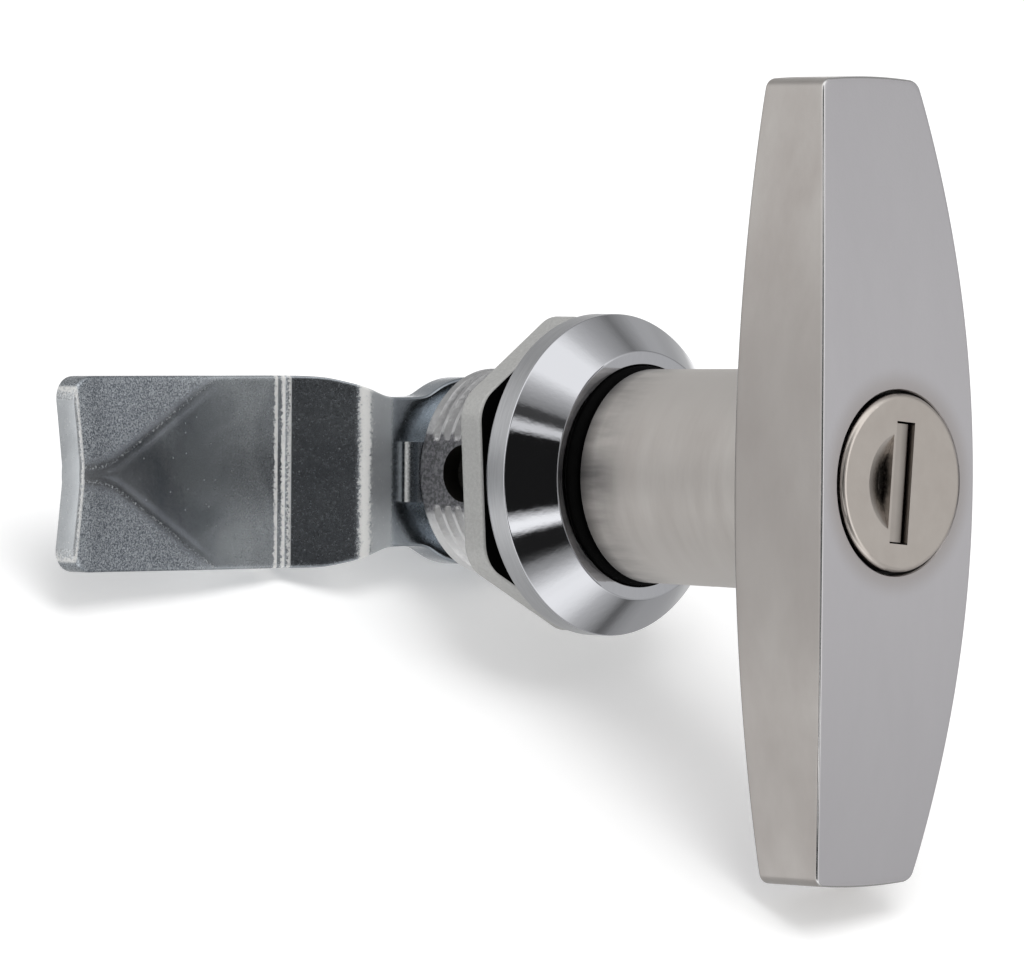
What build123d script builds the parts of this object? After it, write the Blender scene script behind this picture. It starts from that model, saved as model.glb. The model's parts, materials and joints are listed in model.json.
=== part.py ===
# Locking T-handle: a quarter-turn panel latch with a key lock in its grip.
#
# The row frame has +Z up along the T-bar, the handle outside the panel towards -Y,
# and the cam towards -X behind the panel.  The origin is the centre of the bezel's
# back face, on the lock's axis.
#
# Every piece is drawn looking at the handle's face: x to the right, y up, z out of
# the panel towards the hand.  place() then stands the piece in the row frame.

import math
import os

from build123d import *

# Bezel and threaded sleeve of the housing
BEZEL_R = 17.0
RIM_HEIGHT = 2.6            # straight band at the foot of the bezel
BEZEL_HEIGHT = 6.6
BEZEL_FACE_R = 13.1         # where the cone meets the flat ring on top
SEAL_POCKET_R = 11.65
SEAL_POCKET_FLOOR = 4.2
THREAD_R = 11.0             # M22 x 1.5 major radius
SLEEVE_END = -16.2          # rear of the sleeve
SLEEVE_CHAMFER = 1.0
FLAT_HALF = 10.3            # half the distance across the sleeve's two flats
LOCK_HOLE_R = 3.05
LOCK_HOLE_Z = -9.5
GASKET_RECESS = 0.4
GASKET_RECESS_R = 15.0

# Gasket, nut, wiper and thrust washer
GASKET_R = 14.8
GASKET_BACK = -2.4
NUT_AF = 30.0
NUT_THICK = 3.0
NUT_CORNER_R = 4.0
NUT_CHAMFER = 0.35
NUT_TURN = 3.6              # the nut is tightened this far past square, in degrees
THRUST_THICK = 0.5
WIPER_LIP = 7.45            # crest of the wiper's rounded lip

# Grip
BAR_HALF_LENGTH = 41.8
BAR_HALF_WIDTH = 11.9       # at the middle
BAR_END_HALF_WIDTH = 7.35
BAR_BACK = 30.2
BAR_FRONT = 42.3            # at the middle
BAR_END_FRONT = 38.0
BAR_EDGE_R = 0.3
STEM_FOOT_R = 11.25
STEM_TOP_R = 11.6
STEM_FOOT = 7.9
STEM_FOOT_CHAMFER = 0.25
NECK_R = 9.6
SHAFT_R = 8.0
SQUARE = 9.0                # drive square behind the shaft
SQUARE_END = -21.3
SQUARE_CORNER_R = 5.85      # the square's corners are turned down to this radius

# Hollows of the grip
CYLINDER_HOLE_R = 9.55
CYLINDER_FLOOR = 12.5
CYLINDER_MOUTH = 0.12       # chamfer round the mouth of the cylinder's hole
DRIVER_HOLE_R = 6.0
DRIVER_FLOOR = -7.6

# Lock cylinder
SHELL_R = 9.5
SHELL_FRONT = 40.8
SHELL_BACK = 15.4
PLUG_R = 6.95
PLUG_FRONT = 40.9
PLUG_BACK = 13.3
PLUG_POCKET_HALF = 1.45     # room for the shutter in the front of the plug
PLUG_POCKET_FLOOR = 36.6
CAP_R = 9.2
CAP_FRONT = 42.8
CAP_EDGE_R = 0.5
SLOT_WIDTH = 2.8
SLOT_HEIGHT = 12.6
SLOT_TILT = 5.0             # the slot rests this far clockwise of upright, in degrees
RIB = 0.35                  # narrow rib left standing between the slot and the dish
DISH_R = 5.2                # the thumb dish at the face, then its two steps: radius and depth
DISH_STEPS = ((3.6, 0.6), (2.6, 1.05))
KEYWAY_WIDTH = 2.4
KEYWAY_HEIGHT = 10.6
KEYWAY_END = 20.0
WAFERS = 5
WAFER_FIRST = 24.0
WAFER_PITCH = 2.5
WAFER_THICK = 1.2
WAFER_HALF_WIDTH = 3.0
WAFER_HALF_HEIGHT = 6.0
WAFER_HOLE_HALF_WIDTH = 1.3
WAFER_HOLE_HALF_HEIGHT = 4.2
WAFER_SPRING_X = 3.95
WAFER_SPRING_R = 0.6
WAFER_SPRING_LENGTH = 4.0
CHANNEL_HALF_WIDTH = 3.2    # channels in the shell that the wafers lock into
CHANNEL_NEAR = 5.5
CHANNEL_FAR = 8.5
CHANNEL_SPARE = 1.5
CYLINDER_PIN_Z = 18.5
CYLINDER_PIN_R = 1.25
CYLINDER_PIN_BITE = 1.3     # how far the roll pin reaches into the shell
CLIP_R = 6.0
CLIP_OUTER_R = 7.9
CLIP_LOW = 14.4
CLIP_HIGH = 15.2
CLIP_MOUTH = 20.0           # half the clip's opening, in degrees

# Dust shutter in the slot
HINGE_X = -0.9
HINGE_Z = 41.8
HINGE_R = 0.4
HINGE_PIN_R = 0.25
HINGE_PIN_LENGTH = 13.4
SHUTTER_SHORT = 0.2         # gap at each end of the flap
SPRING_LEAF = (-1.38, -1.22)            # the leaf spring lies between these two x
SPRING_HALF_HEIGHT = 3.0
SPRING_TOP = 41.2
# the flap's section as (x, depth below the face): flat towards the hand, rounded at its free edge
FLAP_SECTION = ((-1.1, 0.45), (0.75, 0.5), (1.08, 0.62), (1.2, 0.95), (0.85, 0.98), (-0.9, 1.0))

# Locking pin and the spiral that drives it
KEY_TRAVEL = 85.0           # degrees
PIN_TRAVEL = 1.8889         # millimetres over the whole key travel
PIN_R = 2.4
PIN_TIP = 7.8               # radius of the pin's outer end when drawn in
PIN_TAIL = 0.9
PIN_CHAMFER = 0.4
PEG_R = 0.9
PEG_REST = 2.4              # radius of the peg's centre when drawn in
PEG_TOP = -5.35
PEG_PLAY = 0.06
DISC_R = 5.6
DISC_BACK = -6.9
DISC_FRONT = -4.4
GROOVE_DEPTH = 1.7
GROOVE_OVERRUN = 4.0        # the groove runs on past each end of the travel, in degrees
DRIVER_HALF_THICK = 1.0
DRIVER_HALF_HEIGHT = 3.5
DRIVER_END = 16.9
DRIVER_SLOT_PLAY = 0.1
CROSS_PIN_Z = 16.0
CROSS_PIN_R = 0.75
CROSS_PIN_LENGTH = 13.0

# Stop disc, cam and its screw
STOP_R = 9.0
STOP_EAR_R = 10.2
STOP_EAR_WIDTH = 6.4
STOP_TURN = 90.0
DOG_HALF_ANGLE = 18.0
DOG_OUTER_R = 9.2
DOG_LENGTH = 2.2
DOG_SPARE_ANGLE = 0.5
CAM_FRONT = -18.5
CAM_THICK = 3.0
CAM_HALF_WIDTH = 10.2
CAM_NECK_HALF = 7.9
CAM_HUB_R = 10.0
CAM_WAIST_R = 2.5           # rounding where the neck meets the hub
CAM_TIP = 51.9
CAM_BEND_IN = 15.9          # distance of the first bend from the axis
CAM_DROP = 6.1              # how far the outer plate is set back
CAM_BEND_R = 1.2            # inside of the bends
CAM_BEND_OUTER_R = 3.0
CAM_NECK_END = 12.5         # where the neck starts to widen
CAM_BLADE_START = 18.9      # where the blade has its full width
CAM_SHOULDER_R = 3.0
CAM_FACET_ANGLE = 11.0
CAM_FACET_LENGTH = 18.5
CAM_FOLD_START = 0.9        # half the gap between the two folds at the tip
CAM_CORNER_R = 2.6
WASHER_R = 6.0
WASHER_THICK = 1.2
SPRING_WASHER_R = 5.1
SPRING_WASHER_THICK = 1.5
SPRING_WASHER_SPLIT = 8.0   # half the split, in degrees
SCREW_R = 3.0               # M6
SCREW_AF = 10.0
SCREW_HEAD = 4.0
SCREW_HEAD_CHAMFER = 0.8
SCREW_END = -13.6
SCREW_HOLE_END = -13.2

FIT = 0.05                  # running clearance on the radius
MATE = 0.02                 # gap between two pieces that don't move on each other
PLAY = 0.1                  # loose clearance


def place(shape):
    """Stand a piece drawn face-on in the row frame."""
    return Rot(90, 0, 0) * shape


def save(name, shape):
    """Write one node."""
    export_step(place(shape), "parts/" + name + ".step")


def turned(points):
    """Solid of revolution about z from (radius, z) corners."""
    profile = Polyline(*[(r, 0, z) for r, z in points], close=True)
    return revolve(make_face(profile), Axis.Z, 360)


def rod(radius, low, high):
    """Round bar along z between two heights."""
    return Pos(0, 0, low) * Cylinder(radius, high - low, align=(Align.CENTER, Align.CENTER, Align.MIN))


def tube(inner, outer, low, high):
    """Ring along z."""
    return rod(outer, low, high) - rod(inner, low - 1, high + 1)


def block(x0, x1, y0, y1, z0, z1):
    """Box between two corners."""
    centre = Pos((x0 + x1) / 2, (y0 + y1) / 2, (z0 + z1) / 2)
    return centre * Box(x1 - x0, y1 - y0, z1 - z0)


def radial_rod(radius, inner, outer, z, angle):
    """Round bar that stands out from the axis at an angle, in degrees from +x."""
    lying = Pos(inner, 0, z) * Rot(0, 90, 0) * rod(radius, 0, outer - inner)
    return Rot(0, 0, angle) * lying


def sector(inner, outer, low, high, start, end):
    """Part of a ring between two angles, in degrees from +x."""
    def at(radius, angle):
        return (radius * math.cos(math.radians(angle)), radius * math.sin(math.radians(angle)))
    middle = (start + end) / 2
    outline = [
        ThreePointArc(at(outer, start), at(outer, middle), at(outer, end)),
        Line(at(outer, end), at(inner, end)),
        ThreePointArc(at(inner, end), at(inner, middle), at(inner, start)),
        Line(at(inner, start), at(outer, start)),
    ]
    return Pos(0, 0, low) * extrude(make_face(outline), high - low)


def with_slot(shape):
    """Turn a piece that was drawn with the key slot upright to the slot's resting tilt."""
    return Rot(0, 0, -SLOT_TILT) * shape


# Housing

def housing():
    """Bezel and threaded sleeve: one die casting, bored for the shaft, with two flats."""
    body = turned([
        (SHAFT_R + FIT, SLEEVE_END),
        (THREAD_R - SLEEVE_CHAMFER, SLEEVE_END),
        (THREAD_R, SLEEVE_END + SLEEVE_CHAMFER),
        (THREAD_R, GASKET_RECESS),
        (GASKET_RECESS_R, GASKET_RECESS),
        (GASKET_RECESS_R, 0),
        (BEZEL_R, 0),
        (BEZEL_R, RIM_HEIGHT),
        (BEZEL_FACE_R, BEZEL_HEIGHT),
        (SEAL_POCKET_R, BEZEL_HEIGHT),
        (SEAL_POCKET_R, SEAL_POCKET_FLOOR),
        (SHAFT_R + FIT, SEAL_POCKET_FLOOR),
    ])
    for side in (-1, 1):
        cheek = block(FLAT_HALF, THREAD_R + 1, -THREAD_R, THREAD_R, SLEEVE_END - 1, GASKET_RECESS)
        body -= Rot(0, 0, 90 - 90 * side) * cheek
    # the pin finds a hole in both positions of the handle: cam across and cam up
    for angle in (180, 180 - STOP_TURN):
        body -= radial_rod(LOCK_HOLE_R, SHAFT_R - 1, THREAD_R + 1, LOCK_HOLE_Z, angle)
    # quarter-turn stop groove for the dog of the stop disc
    reach = DOG_HALF_ANGLE + DOG_SPARE_ANGLE
    body -= sector(SHAFT_R - 0.5, DOG_OUTER_R + PLAY, SLEEVE_END - 1, SLEEVE_END + DOG_LENGTH + 2 * PLAY,
                   180 - STOP_TURN - reach, 180 + reach)
    return body


def panel_gasket():
    """Flat rubber ring under the bezel."""
    return tube(THREAD_R + FIT, GASKET_R, GASKET_BACK, GASKET_RECESS)


def panel_nut():
    """Thin hexagon nut with rounded corners, one flat towards the cam."""
    back = GASKET_BACK - NUT_THICK
    hexagon = RegularPolygon(NUT_AF / 2, 6, major_radius=False, rotation=30)
    outline = fillet(hexagon.vertices(), NUT_CORNER_R)
    plate = Pos(0, 0, back) * extrude(outline, NUT_THICK)
    plate = chamfer(plate.faces().sort_by(Axis.Z)[0].outer_wire().edges(), NUT_CHAMFER)
    return Rot(0, 0, NUT_TURN) * (plate - rod(THREAD_R + FIT, back - 1, GASKET_BACK + 1))


def shaft_seal():
    """Rubber wiper in the mouth of the bezel, with a rounded lip."""
    inner = NECK_R + PLAY
    outer = SEAL_POCKET_R - FIT
    floor = SEAL_POCKET_FLOOR + THRUST_THICK + FIT
    shoulder = BEZEL_HEIGHT + 0.05
    crest = (inner + outer) / 2 + 0.2
    outline = [
        Line((inner, 0, floor), (outer, 0, floor)),
        Line((outer, 0, floor), (outer, 0, shoulder)),
        ThreePointArc((outer, 0, shoulder), (crest, 0, WIPER_LIP), (inner, 0, shoulder)),
        Line((inner, 0, shoulder), (inner, 0, floor)),
    ]
    return revolve(make_face(outline), Axis.Z, 360)


def thrust_washer():
    """Nylon washer between the neck of the handle and the housing."""
    return tube(SHAFT_R + PLAY, SEAL_POCKET_R - PLAY, SEAL_POCKET_FLOOR, SEAL_POCKET_FLOOR + THRUST_THICK)


# Handle

def grip_bar():
    """T-bar: barrel-shaped from the front, flat behind and crowned in front."""
    top = BAR_HALF_LENGTH
    front_view = make_face([
        ThreePointArc((BAR_END_HALF_WIDTH, -top), (BAR_HALF_WIDTH, 0), (BAR_END_HALF_WIDTH, top)),
        Line((BAR_END_HALF_WIDTH, top), (-BAR_END_HALF_WIDTH, top)),
        ThreePointArc((-BAR_END_HALF_WIDTH, top), (-BAR_HALF_WIDTH, 0), (-BAR_END_HALF_WIDTH, -top)),
        Line((-BAR_END_HALF_WIDTH, -top), (BAR_END_HALF_WIDTH, -top)),
    ])
    side_view = make_face([
        Line((0, -top, BAR_BACK), (0, top, BAR_BACK)),
        Line((0, top, BAR_BACK), (0, top, BAR_END_FRONT)),
        ThreePointArc((0, top, BAR_END_FRONT), (0, 0, BAR_FRONT), (0, -top, BAR_END_FRONT)),
        Line((0, -top, BAR_END_FRONT), (0, -top, BAR_BACK)),
    ])
    barrel = Pos(0, 0, BAR_BACK - 1) * extrude(front_view, BAR_FRONT - BAR_BACK + 2)
    crown = extrude(side_view, BAR_HALF_WIDTH + 1, both=True, dir=(1, 0, 0))
    bar = barrel & crown
    return fillet(bar.edges(), BAR_EDGE_R)


def handle():
    """Grip bar, hollow stem, shaft and drive square: one zinc casting."""
    neck_foot = SEAL_POCKET_FLOOR + THRUST_THICK + FIT
    core = SHAFT_R / 2
    stem = turned([
        (0, SQUARE_END + 1),
        (core, SQUARE_END + 1),
        (core, SLEEVE_END - FIT),
        (SHAFT_R, SLEEVE_END - FIT),
        (SHAFT_R, neck_foot),
        (NECK_R, neck_foot),
        (NECK_R, STEM_FOOT),
        (STEM_FOOT_R - STEM_FOOT_CHAMFER, STEM_FOOT),
        (STEM_FOOT_R, STEM_FOOT + STEM_FOOT_CHAMFER),
        (STEM_TOP_R, BAR_BACK + 0.5),
        (0, BAR_BACK + 0.5),
    ])
    half = SQUARE / 2
    square = block(-half, half, -half, half, SQUARE_END, SLEEVE_END + 1)
    square &= rod(SQUARE_CORNER_R, SQUARE_END, SLEEVE_END + 1)
    body = grip_bar() + stem + square
    body -= rod(CYLINDER_HOLE_R, CYLINDER_FLOOR, BAR_FRONT + 1)
    body -= turned([
        (0, BAR_FRONT - CYLINDER_MOUTH - 0.1),
        (CYLINDER_HOLE_R, BAR_FRONT - CYLINDER_MOUTH - 0.1),
        (CYLINDER_HOLE_R + CYLINDER_MOUTH + 0.2, BAR_FRONT + 0.1),
        (0, BAR_FRONT + 0.1),
    ])
    body -= rod(DRIVER_HOLE_R, DRIVER_FLOOR, CYLINDER_FLOOR + 1)
    body -= radial_rod(PIN_R + FIT, PIN_TAIL - 0.3, SHAFT_R + 1, LOCK_HOLE_Z, 180)
    body -= rod(SCREW_R, SQUARE_END - 1, SCREW_HOLE_END)
    body -= radial_rod(CYLINDER_PIN_R + MATE, SHELL_R - 1, STEM_TOP_R + 1, CYLINDER_PIN_Z, -90)
    return body


def cylinder_pin():
    """Roll pin from under the stem that keeps the lock cylinder in."""
    return radial_rod(CYLINDER_PIN_R, SHELL_R - CYLINDER_PIN_BITE, STEM_FOOT_R - 0.15, CYLINDER_PIN_Z, -90)


def stop_disc():
    """Disc on the drive square with an ear, and a dog that runs in the housing's groove."""
    front = SLEEVE_END - FIT
    ear_half = STOP_EAR_WIDTH / 2
    disc = rod(STOP_R, CAM_FRONT, front)
    disc += block(-STOP_EAR_R, 0, -ear_half, ear_half, CAM_FRONT, front)
    disc += sector(SHAFT_R + 2 * MATE, DOG_OUTER_R, CAM_FRONT, front + DOG_LENGTH,
                   180 - DOG_HALF_ANGLE, 180 + DOG_HALF_ANGLE)
    half = SQUARE / 2 + MATE
    return disc - block(-half, half, -half, half, CAM_FRONT - 1, front + 1)


def cam_side_view():
    """Plate with its two bends, as wide as the cam and a little over."""
    shift = CAM_THICK * math.tan(math.radians(22.5))
    far = CAM_BEND_IN + CAM_DROP
    back = CAM_FRONT - CAM_THICK
    start = CAM_HUB_R + 1
    section = make_face(Polyline(
        (start, 0, CAM_FRONT),
        (-CAM_BEND_IN, 0, CAM_FRONT),
        (-far, 0, CAM_FRONT - CAM_DROP),
        (-CAM_TIP, 0, CAM_FRONT - CAM_DROP),
        (-CAM_TIP, 0, back - CAM_DROP),
        (shift - far, 0, back - CAM_DROP),
        (shift - CAM_BEND_IN, 0, back),
        (start, 0, back),
        close=True,
    ))
    plate = extrude(section, CAM_HALF_WIDTH + 1, both=True, dir=(0, 1, 0))

    def fold_edges(solid, corners):
        return [e for e in solid.edges().filter_by(Axis.Y)
                if any(abs(e.center().X - x) < 0.01 and abs(e.center().Z - z) < 0.01 for x, z in corners)]

    hollow_side = [(-far, CAM_FRONT - CAM_DROP), (shift - CAM_BEND_IN, back)]
    plate = fillet(fold_edges(plate, hollow_side), CAM_BEND_R)
    outer_side = [(-CAM_BEND_IN, CAM_FRONT), (shift - far, back - CAM_DROP)]
    return fillet(fold_edges(plate, outer_side), CAM_BEND_OUTER_R)


def cam_plan():
    """Outline of the cam from the front: hub, neck and blade."""
    def edge(side):
        return [
            (-CAM_TIP, side * CAM_HALF_WIDTH),
            (-CAM_BLADE_START, side * CAM_HALF_WIDTH),
            (-CAM_NECK_END, side * CAM_NECK_HALF),
            (0, side * CAM_NECK_HALF),
        ]
    blade = make_face(Polyline(*edge(1), *reversed(edge(-1)), close=True))
    tips = [v for v in blade.vertices() if v.X < 1 - CAM_TIP]
    blade = fillet(tips, CAM_CORNER_R)
    shoulders = [v for v in blade.vertices() if -CAM_BLADE_START - 0.1 < v.X < -CAM_NECK_END + 0.1]
    blade = fillet(shoulders, CAM_SHOULDER_R)
    outline = blade + Circle(CAM_HUB_R)
    meeting = math.sqrt(CAM_HUB_R ** 2 - CAM_NECK_HALF ** 2)
    waist = [v for v in outline.vertices() if abs(v.X + meeting) < 0.1]
    return fillet(waist, CAM_WAIST_R)


def cam():
    """Cranked steel cam with two lead-in facets at its tip."""
    floor = CAM_FRONT - CAM_DROP - 2 * CAM_THICK
    height = 3 * CAM_THICK + CAM_DROP
    plate = cam_side_view() & Pos(0, 0, floor) * extrude(cam_plan(), height)
    face = CAM_FRONT - CAM_DROP
    for side in (1, -1):
        inner = Vector(-CAM_TIP, side * CAM_FOLD_START)
        outer = Vector(CAM_FACET_LENGTH - CAM_TIP, side * CAM_HALF_WIDTH)
        run = (outer - inner).normalized()
        start = inner - run * CAM_THICK
        end = outer + run * CAM_THICK
        beyond = -CAM_TIP - 2 * CAM_THICK
        corner = make_face(Polyline(
            (start.X, start.Y), (end.X, end.Y), (beyond, end.Y), (beyond, start.Y), close=True))
        wedge = Pos(0, 0, floor) * extrude(corner, 3 * CAM_THICK)
        fold = Axis((inner.X, inner.Y, face), (run.X, run.Y, 0))
        bent = (plate & wedge).rotate(fold, -side * CAM_FACET_ANGLE)
        plate = plate - wedge + bent
    half = SQUARE / 2 + MATE
    return plate - block(-half, half, -half, half, floor, CAM_FRONT + 1)


def cam_washer():
    """Plain washer behind the cam."""
    back = CAM_FRONT - CAM_THICK
    return tube(SCREW_R + 2 * PLAY, WASHER_R, back - WASHER_THICK, back)


def spring_washer():
    """Split washer under the screw head, pressed flat."""
    back = CAM_FRONT - CAM_THICK - WASHER_THICK
    return sector(SCREW_R + 1.5 * PLAY, SPRING_WASHER_R, back - SPRING_WASHER_THICK, back,
                  SPRING_WASHER_SPLIT, 360 - SPRING_WASHER_SPLIT)


def cam_screw():
    """Hexagon head screw, 10 mm across flats, that holds the cam on the square."""
    seat = CAM_FRONT - CAM_THICK - WASHER_THICK - SPRING_WASHER_THICK
    end = seat - SCREW_HEAD
    half = SCREW_AF / 2
    head = Pos(0, 0, end) * extrude(RegularPolygon(half, 6, major_radius=False), SCREW_HEAD)
    wide = half * 1.24
    head &= turned([(0, end), (half, end), (wide, end + SCREW_HEAD_CHAMFER), (wide, seat), (0, seat)])
    return head + rod(SCREW_R - MATE, seat, SCREW_END)


# Lock cylinder

def wafer_heights():
    """Centre height of each wafer."""
    return [WAFER_FIRST + WAFER_PITCH * i for i in range(WAFERS)]


def cylinder_shell():
    """Fixed barrel of the lock cylinder, with the two channels that the wafers lock into."""
    shell = tube(PLUG_R + FIT, SHELL_R, SHELL_BACK, SHELL_FRONT)
    heights = wafer_heights()
    low = heights[0] - CHANNEL_SPARE
    high = heights[-1] + CHANNEL_SPARE
    for side in (1, -1):
        y_near, y_far = sorted((side * CHANNEL_NEAR, side * CHANNEL_FAR))
        shell -= with_slot(block(-CHANNEL_HALF_WIDTH, CHANNEL_HALF_WIDTH, y_near, y_far, low, high))
    bite = CYLINDER_PIN_BITE + PLAY
    shell -= radial_rod(CYLINDER_PIN_R + MATE, SHELL_R - bite, SHELL_R + 1, CYLINDER_PIN_Z, -90)
    return shell


def cross_pin_bar(radius, length):
    """Bar along x at the height of the driver's cross pin."""
    return Pos(0, 0, CROSS_PIN_Z) * Rot(0, 90, 0) * Cylinder(radius, length)


def plug():
    """Turning core with its keyway, the wafer slots, a clip groove and the driver's slot."""
    core = rod(PLUG_R, PLUG_BACK, PLUG_FRONT)
    core -= tube(CLIP_R - FIT, PLUG_R + 1, CLIP_LOW - FIT, CLIP_HIGH + FIT)
    half_key = KEYWAY_HEIGHT / 2
    core -= block(-KEYWAY_WIDTH / 2, KEYWAY_WIDTH / 2, -half_key, half_key, KEYWAY_END, PLUG_FRONT)
    half_slot = SLOT_HEIGHT / 2
    core -= block(-PLUG_POCKET_HALF, PLUG_POCKET_HALF, -half_slot, half_slot,
                  PLUG_POCKET_FLOOR, PLUG_FRONT + 1)
    slot_half = WAFER_THICK / 2 + FIT
    pocket_half = WAFER_SPRING_R + FIT
    for z in wafer_heights():
        core -= block(-WAFER_HALF_WIDTH - PLAY, WAFER_HALF_WIDTH + PLAY, -PLUG_R, PLUG_R,
                      z - slot_half, z + slot_half)
        core -= block(WAFER_HALF_WIDTH, WAFER_SPRING_X + WAFER_SPRING_R + 0.35,
                      -WAFER_SPRING_LENGTH / 2 - 2 * PLAY, WAFER_SPRING_LENGTH / 2 + 2 * PLAY,
                      z - pocket_half, z + pocket_half)
    half_thick = DRIVER_HALF_THICK + DRIVER_SLOT_PLAY
    half_height = DRIVER_HALF_HEIGHT + 2 * DRIVER_SLOT_PLAY
    core -= block(-half_thick, half_thick, -half_height, half_height,
                  PLUG_BACK - 1, DRIVER_END + DRIVER_SLOT_PLAY)
    core -= cross_pin_bar(CROSS_PIN_R + MATE, 2 * SHELL_R)
    return with_slot(core)


def face_cap():
    """Face of the lock: slot, rounded rim and a dish beside the slot for the thumb."""
    cap = rod(CAP_R, PLUG_FRONT, CAP_FRONT)
    cap = fillet(cap.edges().sort_by(Axis.Z)[-1], CAP_EDGE_R)
    half_slot = SLOT_HEIGHT / 2
    cap -= block(-SLOT_WIDTH / 2, SLOT_WIDTH / 2, -half_slot, half_slot, PLUG_FRONT - 1, CAP_FRONT + 1)
    rib = SLOT_WIDTH / 2 + RIB
    left_of_rib = block(-CAP_R, -rib, -CAP_R, CAP_R, PLUG_FRONT, CAP_FRONT + 1)
    (first_r, first_depth), (floor_r, floor_depth) = DISH_STEPS
    rise = PLAY * (DISH_R - first_r) / first_depth
    dish = turned([
        (0, CAP_FRONT - floor_depth),
        (floor_r, CAP_FRONT - floor_depth),
        (first_r, CAP_FRONT - first_depth),
        (DISH_R + rise, CAP_FRONT + PLAY),
        (0, CAP_FRONT + PLAY),
    ])
    cap -= dish & left_of_rib
    cap -= hinge_bar(HINGE_PIN_R + MATE, HINGE_PIN_LENGTH + 0.6)
    return with_slot(cap)


def wafers():
    """Flat tumblers, drawn level with the plug as a key holds them."""
    plate = block(-WAFER_HALF_WIDTH, WAFER_HALF_WIDTH, -WAFER_HALF_HEIGHT, WAFER_HALF_HEIGHT,
                  -WAFER_THICK / 2, WAFER_THICK / 2)
    plate -= block(-WAFER_HOLE_HALF_WIDTH, WAFER_HOLE_HALF_WIDTH,
                   -WAFER_HOLE_HALF_HEIGHT, WAFER_HOLE_HALF_HEIGHT, -1, 1)
    return Compound([with_slot(Pos(0, 0, z) * plate) for z in wafer_heights()])


def wafer_springs():
    """Small spring beside each wafer."""
    spring = Rot(90, 0, 0) * Cylinder(WAFER_SPRING_R, WAFER_SPRING_LENGTH)
    return Compound([with_slot(Pos(WAFER_SPRING_X, 0, z) * spring) for z in wafer_heights()])


def plug_clip():
    """Open ring in the plug's groove that keeps the plug in its shell."""
    return sector(CLIP_R, CLIP_OUTER_R, CLIP_LOW, CLIP_HIGH, CLIP_MOUTH, 360 - CLIP_MOUTH)


def spiral_point(theta, offset):
    """Point beside the spiral: radius grows evenly with the angle from the rest place."""
    rate = PIN_TRAVEL / math.radians(KEY_TRAVEL)
    radius = PEG_REST + rate * theta
    angle = math.pi + theta
    out = Vector(math.cos(angle), math.sin(angle))
    along = Vector(-math.sin(angle), math.cos(angle))
    tangent = (out * rate + along * radius).normalized()
    normal = Vector(tangent.Y, -tangent.X)
    return out * radius + normal * offset


def spiral_groove():
    """Groove whose steady spiral moves the peg outwards as the key turns."""
    half = PEG_R + PEG_PLAY
    steps = 9
    first = math.radians(-GROOVE_OVERRUN)
    last = math.radians(KEY_TRAVEL + GROOVE_OVERRUN)
    angles = [first + (last - first) * i / (steps - 1) for i in range(steps)]
    outer = [spiral_point(t, half) for t in angles]
    inner = [spiral_point(t, -half) for t in angles]
    outline = [
        Spline(*outer),
        Line(outer[-1], inner[-1]),
        Spline(*reversed(inner)),
        Line(inner[0], outer[0]),
    ]
    floor = make_face(outline)
    for t in (angles[0], angles[-1]):
        centre = spiral_point(t, 0)
        floor += Pos(centre.X, centre.Y) * Circle(half)
    return Pos(0, 0, DISC_BACK - 1) * extrude(floor, GROOVE_DEPTH + 1)


def driver():
    """Flat bar from the plug to a disc with the spiral groove."""
    disc = rod(DISC_R, DISC_BACK, DISC_FRONT) - spiral_groove()
    bar = block(-DRIVER_HALF_THICK, DRIVER_HALF_THICK, -DRIVER_HALF_HEIGHT, DRIVER_HALF_HEIGHT,
                DISC_FRONT - 0.1, DRIVER_END)
    bar -= cross_pin_bar(CROSS_PIN_R + MATE, 2 * SHELL_R)
    return disc + with_slot(bar)


def driver_pin():
    """Cross pin that joins the driver to the plug."""
    return with_slot(cross_pin_bar(CROSS_PIN_R, CROSS_PIN_LENGTH))


def hinge_bar(radius, length):
    """Bar along y on the shutter's hinge line."""
    return Pos(HINGE_X, 0, HINGE_Z) * Rot(90, 0, 0) * Cylinder(radius, length)


def key_shutter():
    """Flap on a hinge barrel that closes the slot; its section is FLAP_SECTION."""
    half = SLOT_HEIGHT / 2 - SHUTTER_SHORT
    top, shoulder, nose, toe, heel, root = [(x, 0, CAP_FRONT - depth) for x, depth in FLAP_SECTION]
    flap = make_face([
        Line(top, shoulder),
        ThreePointArc(shoulder, nose, toe),
        Line(toe, heel),
        Line(heel, root),
        Line(root, top),
    ])
    shutter = extrude(flap, half, both=True, dir=(0, 1, 0))
    shutter += hinge_bar(HINGE_R, 2 * half)
    shutter -= hinge_bar(HINGE_PIN_R + FIT, SLOT_HEIGHT)
    return with_slot(shutter)


def shutter_pin():
    """Hinge pin of the shutter, held in the face cap."""
    return with_slot(hinge_bar(HINGE_PIN_R, HINGE_PIN_LENGTH))


def shutter_spring():
    """Leaf spring on the left wall of the plug's front pocket."""
    return with_slot(block(*SPRING_LEAF, -SPRING_HALF_HEIGHT, SPRING_HALF_HEIGHT,
                           PLUG_POCKET_FLOOR + PLAY, SPRING_TOP))


def lock_pin():
    """Radial pin with a peg that runs in the driver's spiral."""
    pin = radial_rod(PIN_R, PIN_TAIL, PIN_TIP, LOCK_HOLE_Z, 180)
    pin = chamfer(pin.edges().sort_by(Axis.X)[0], PIN_CHAMFER)
    return pin + Pos(-PEG_REST, 0, 0) * rod(PEG_R, LOCK_HOLE_Z, PEG_TOP)


PIECES = [
    housing, panel_gasket, panel_nut, shaft_seal, thrust_washer,
    handle, cylinder_shell, cylinder_pin, stop_disc, cam, cam_washer, spring_washer, cam_screw,
    plug, face_cap, wafers, wafer_springs, plug_clip, driver, driver_pin, shutter_pin, shutter_spring,
    key_shutter, lock_pin,
]

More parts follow.
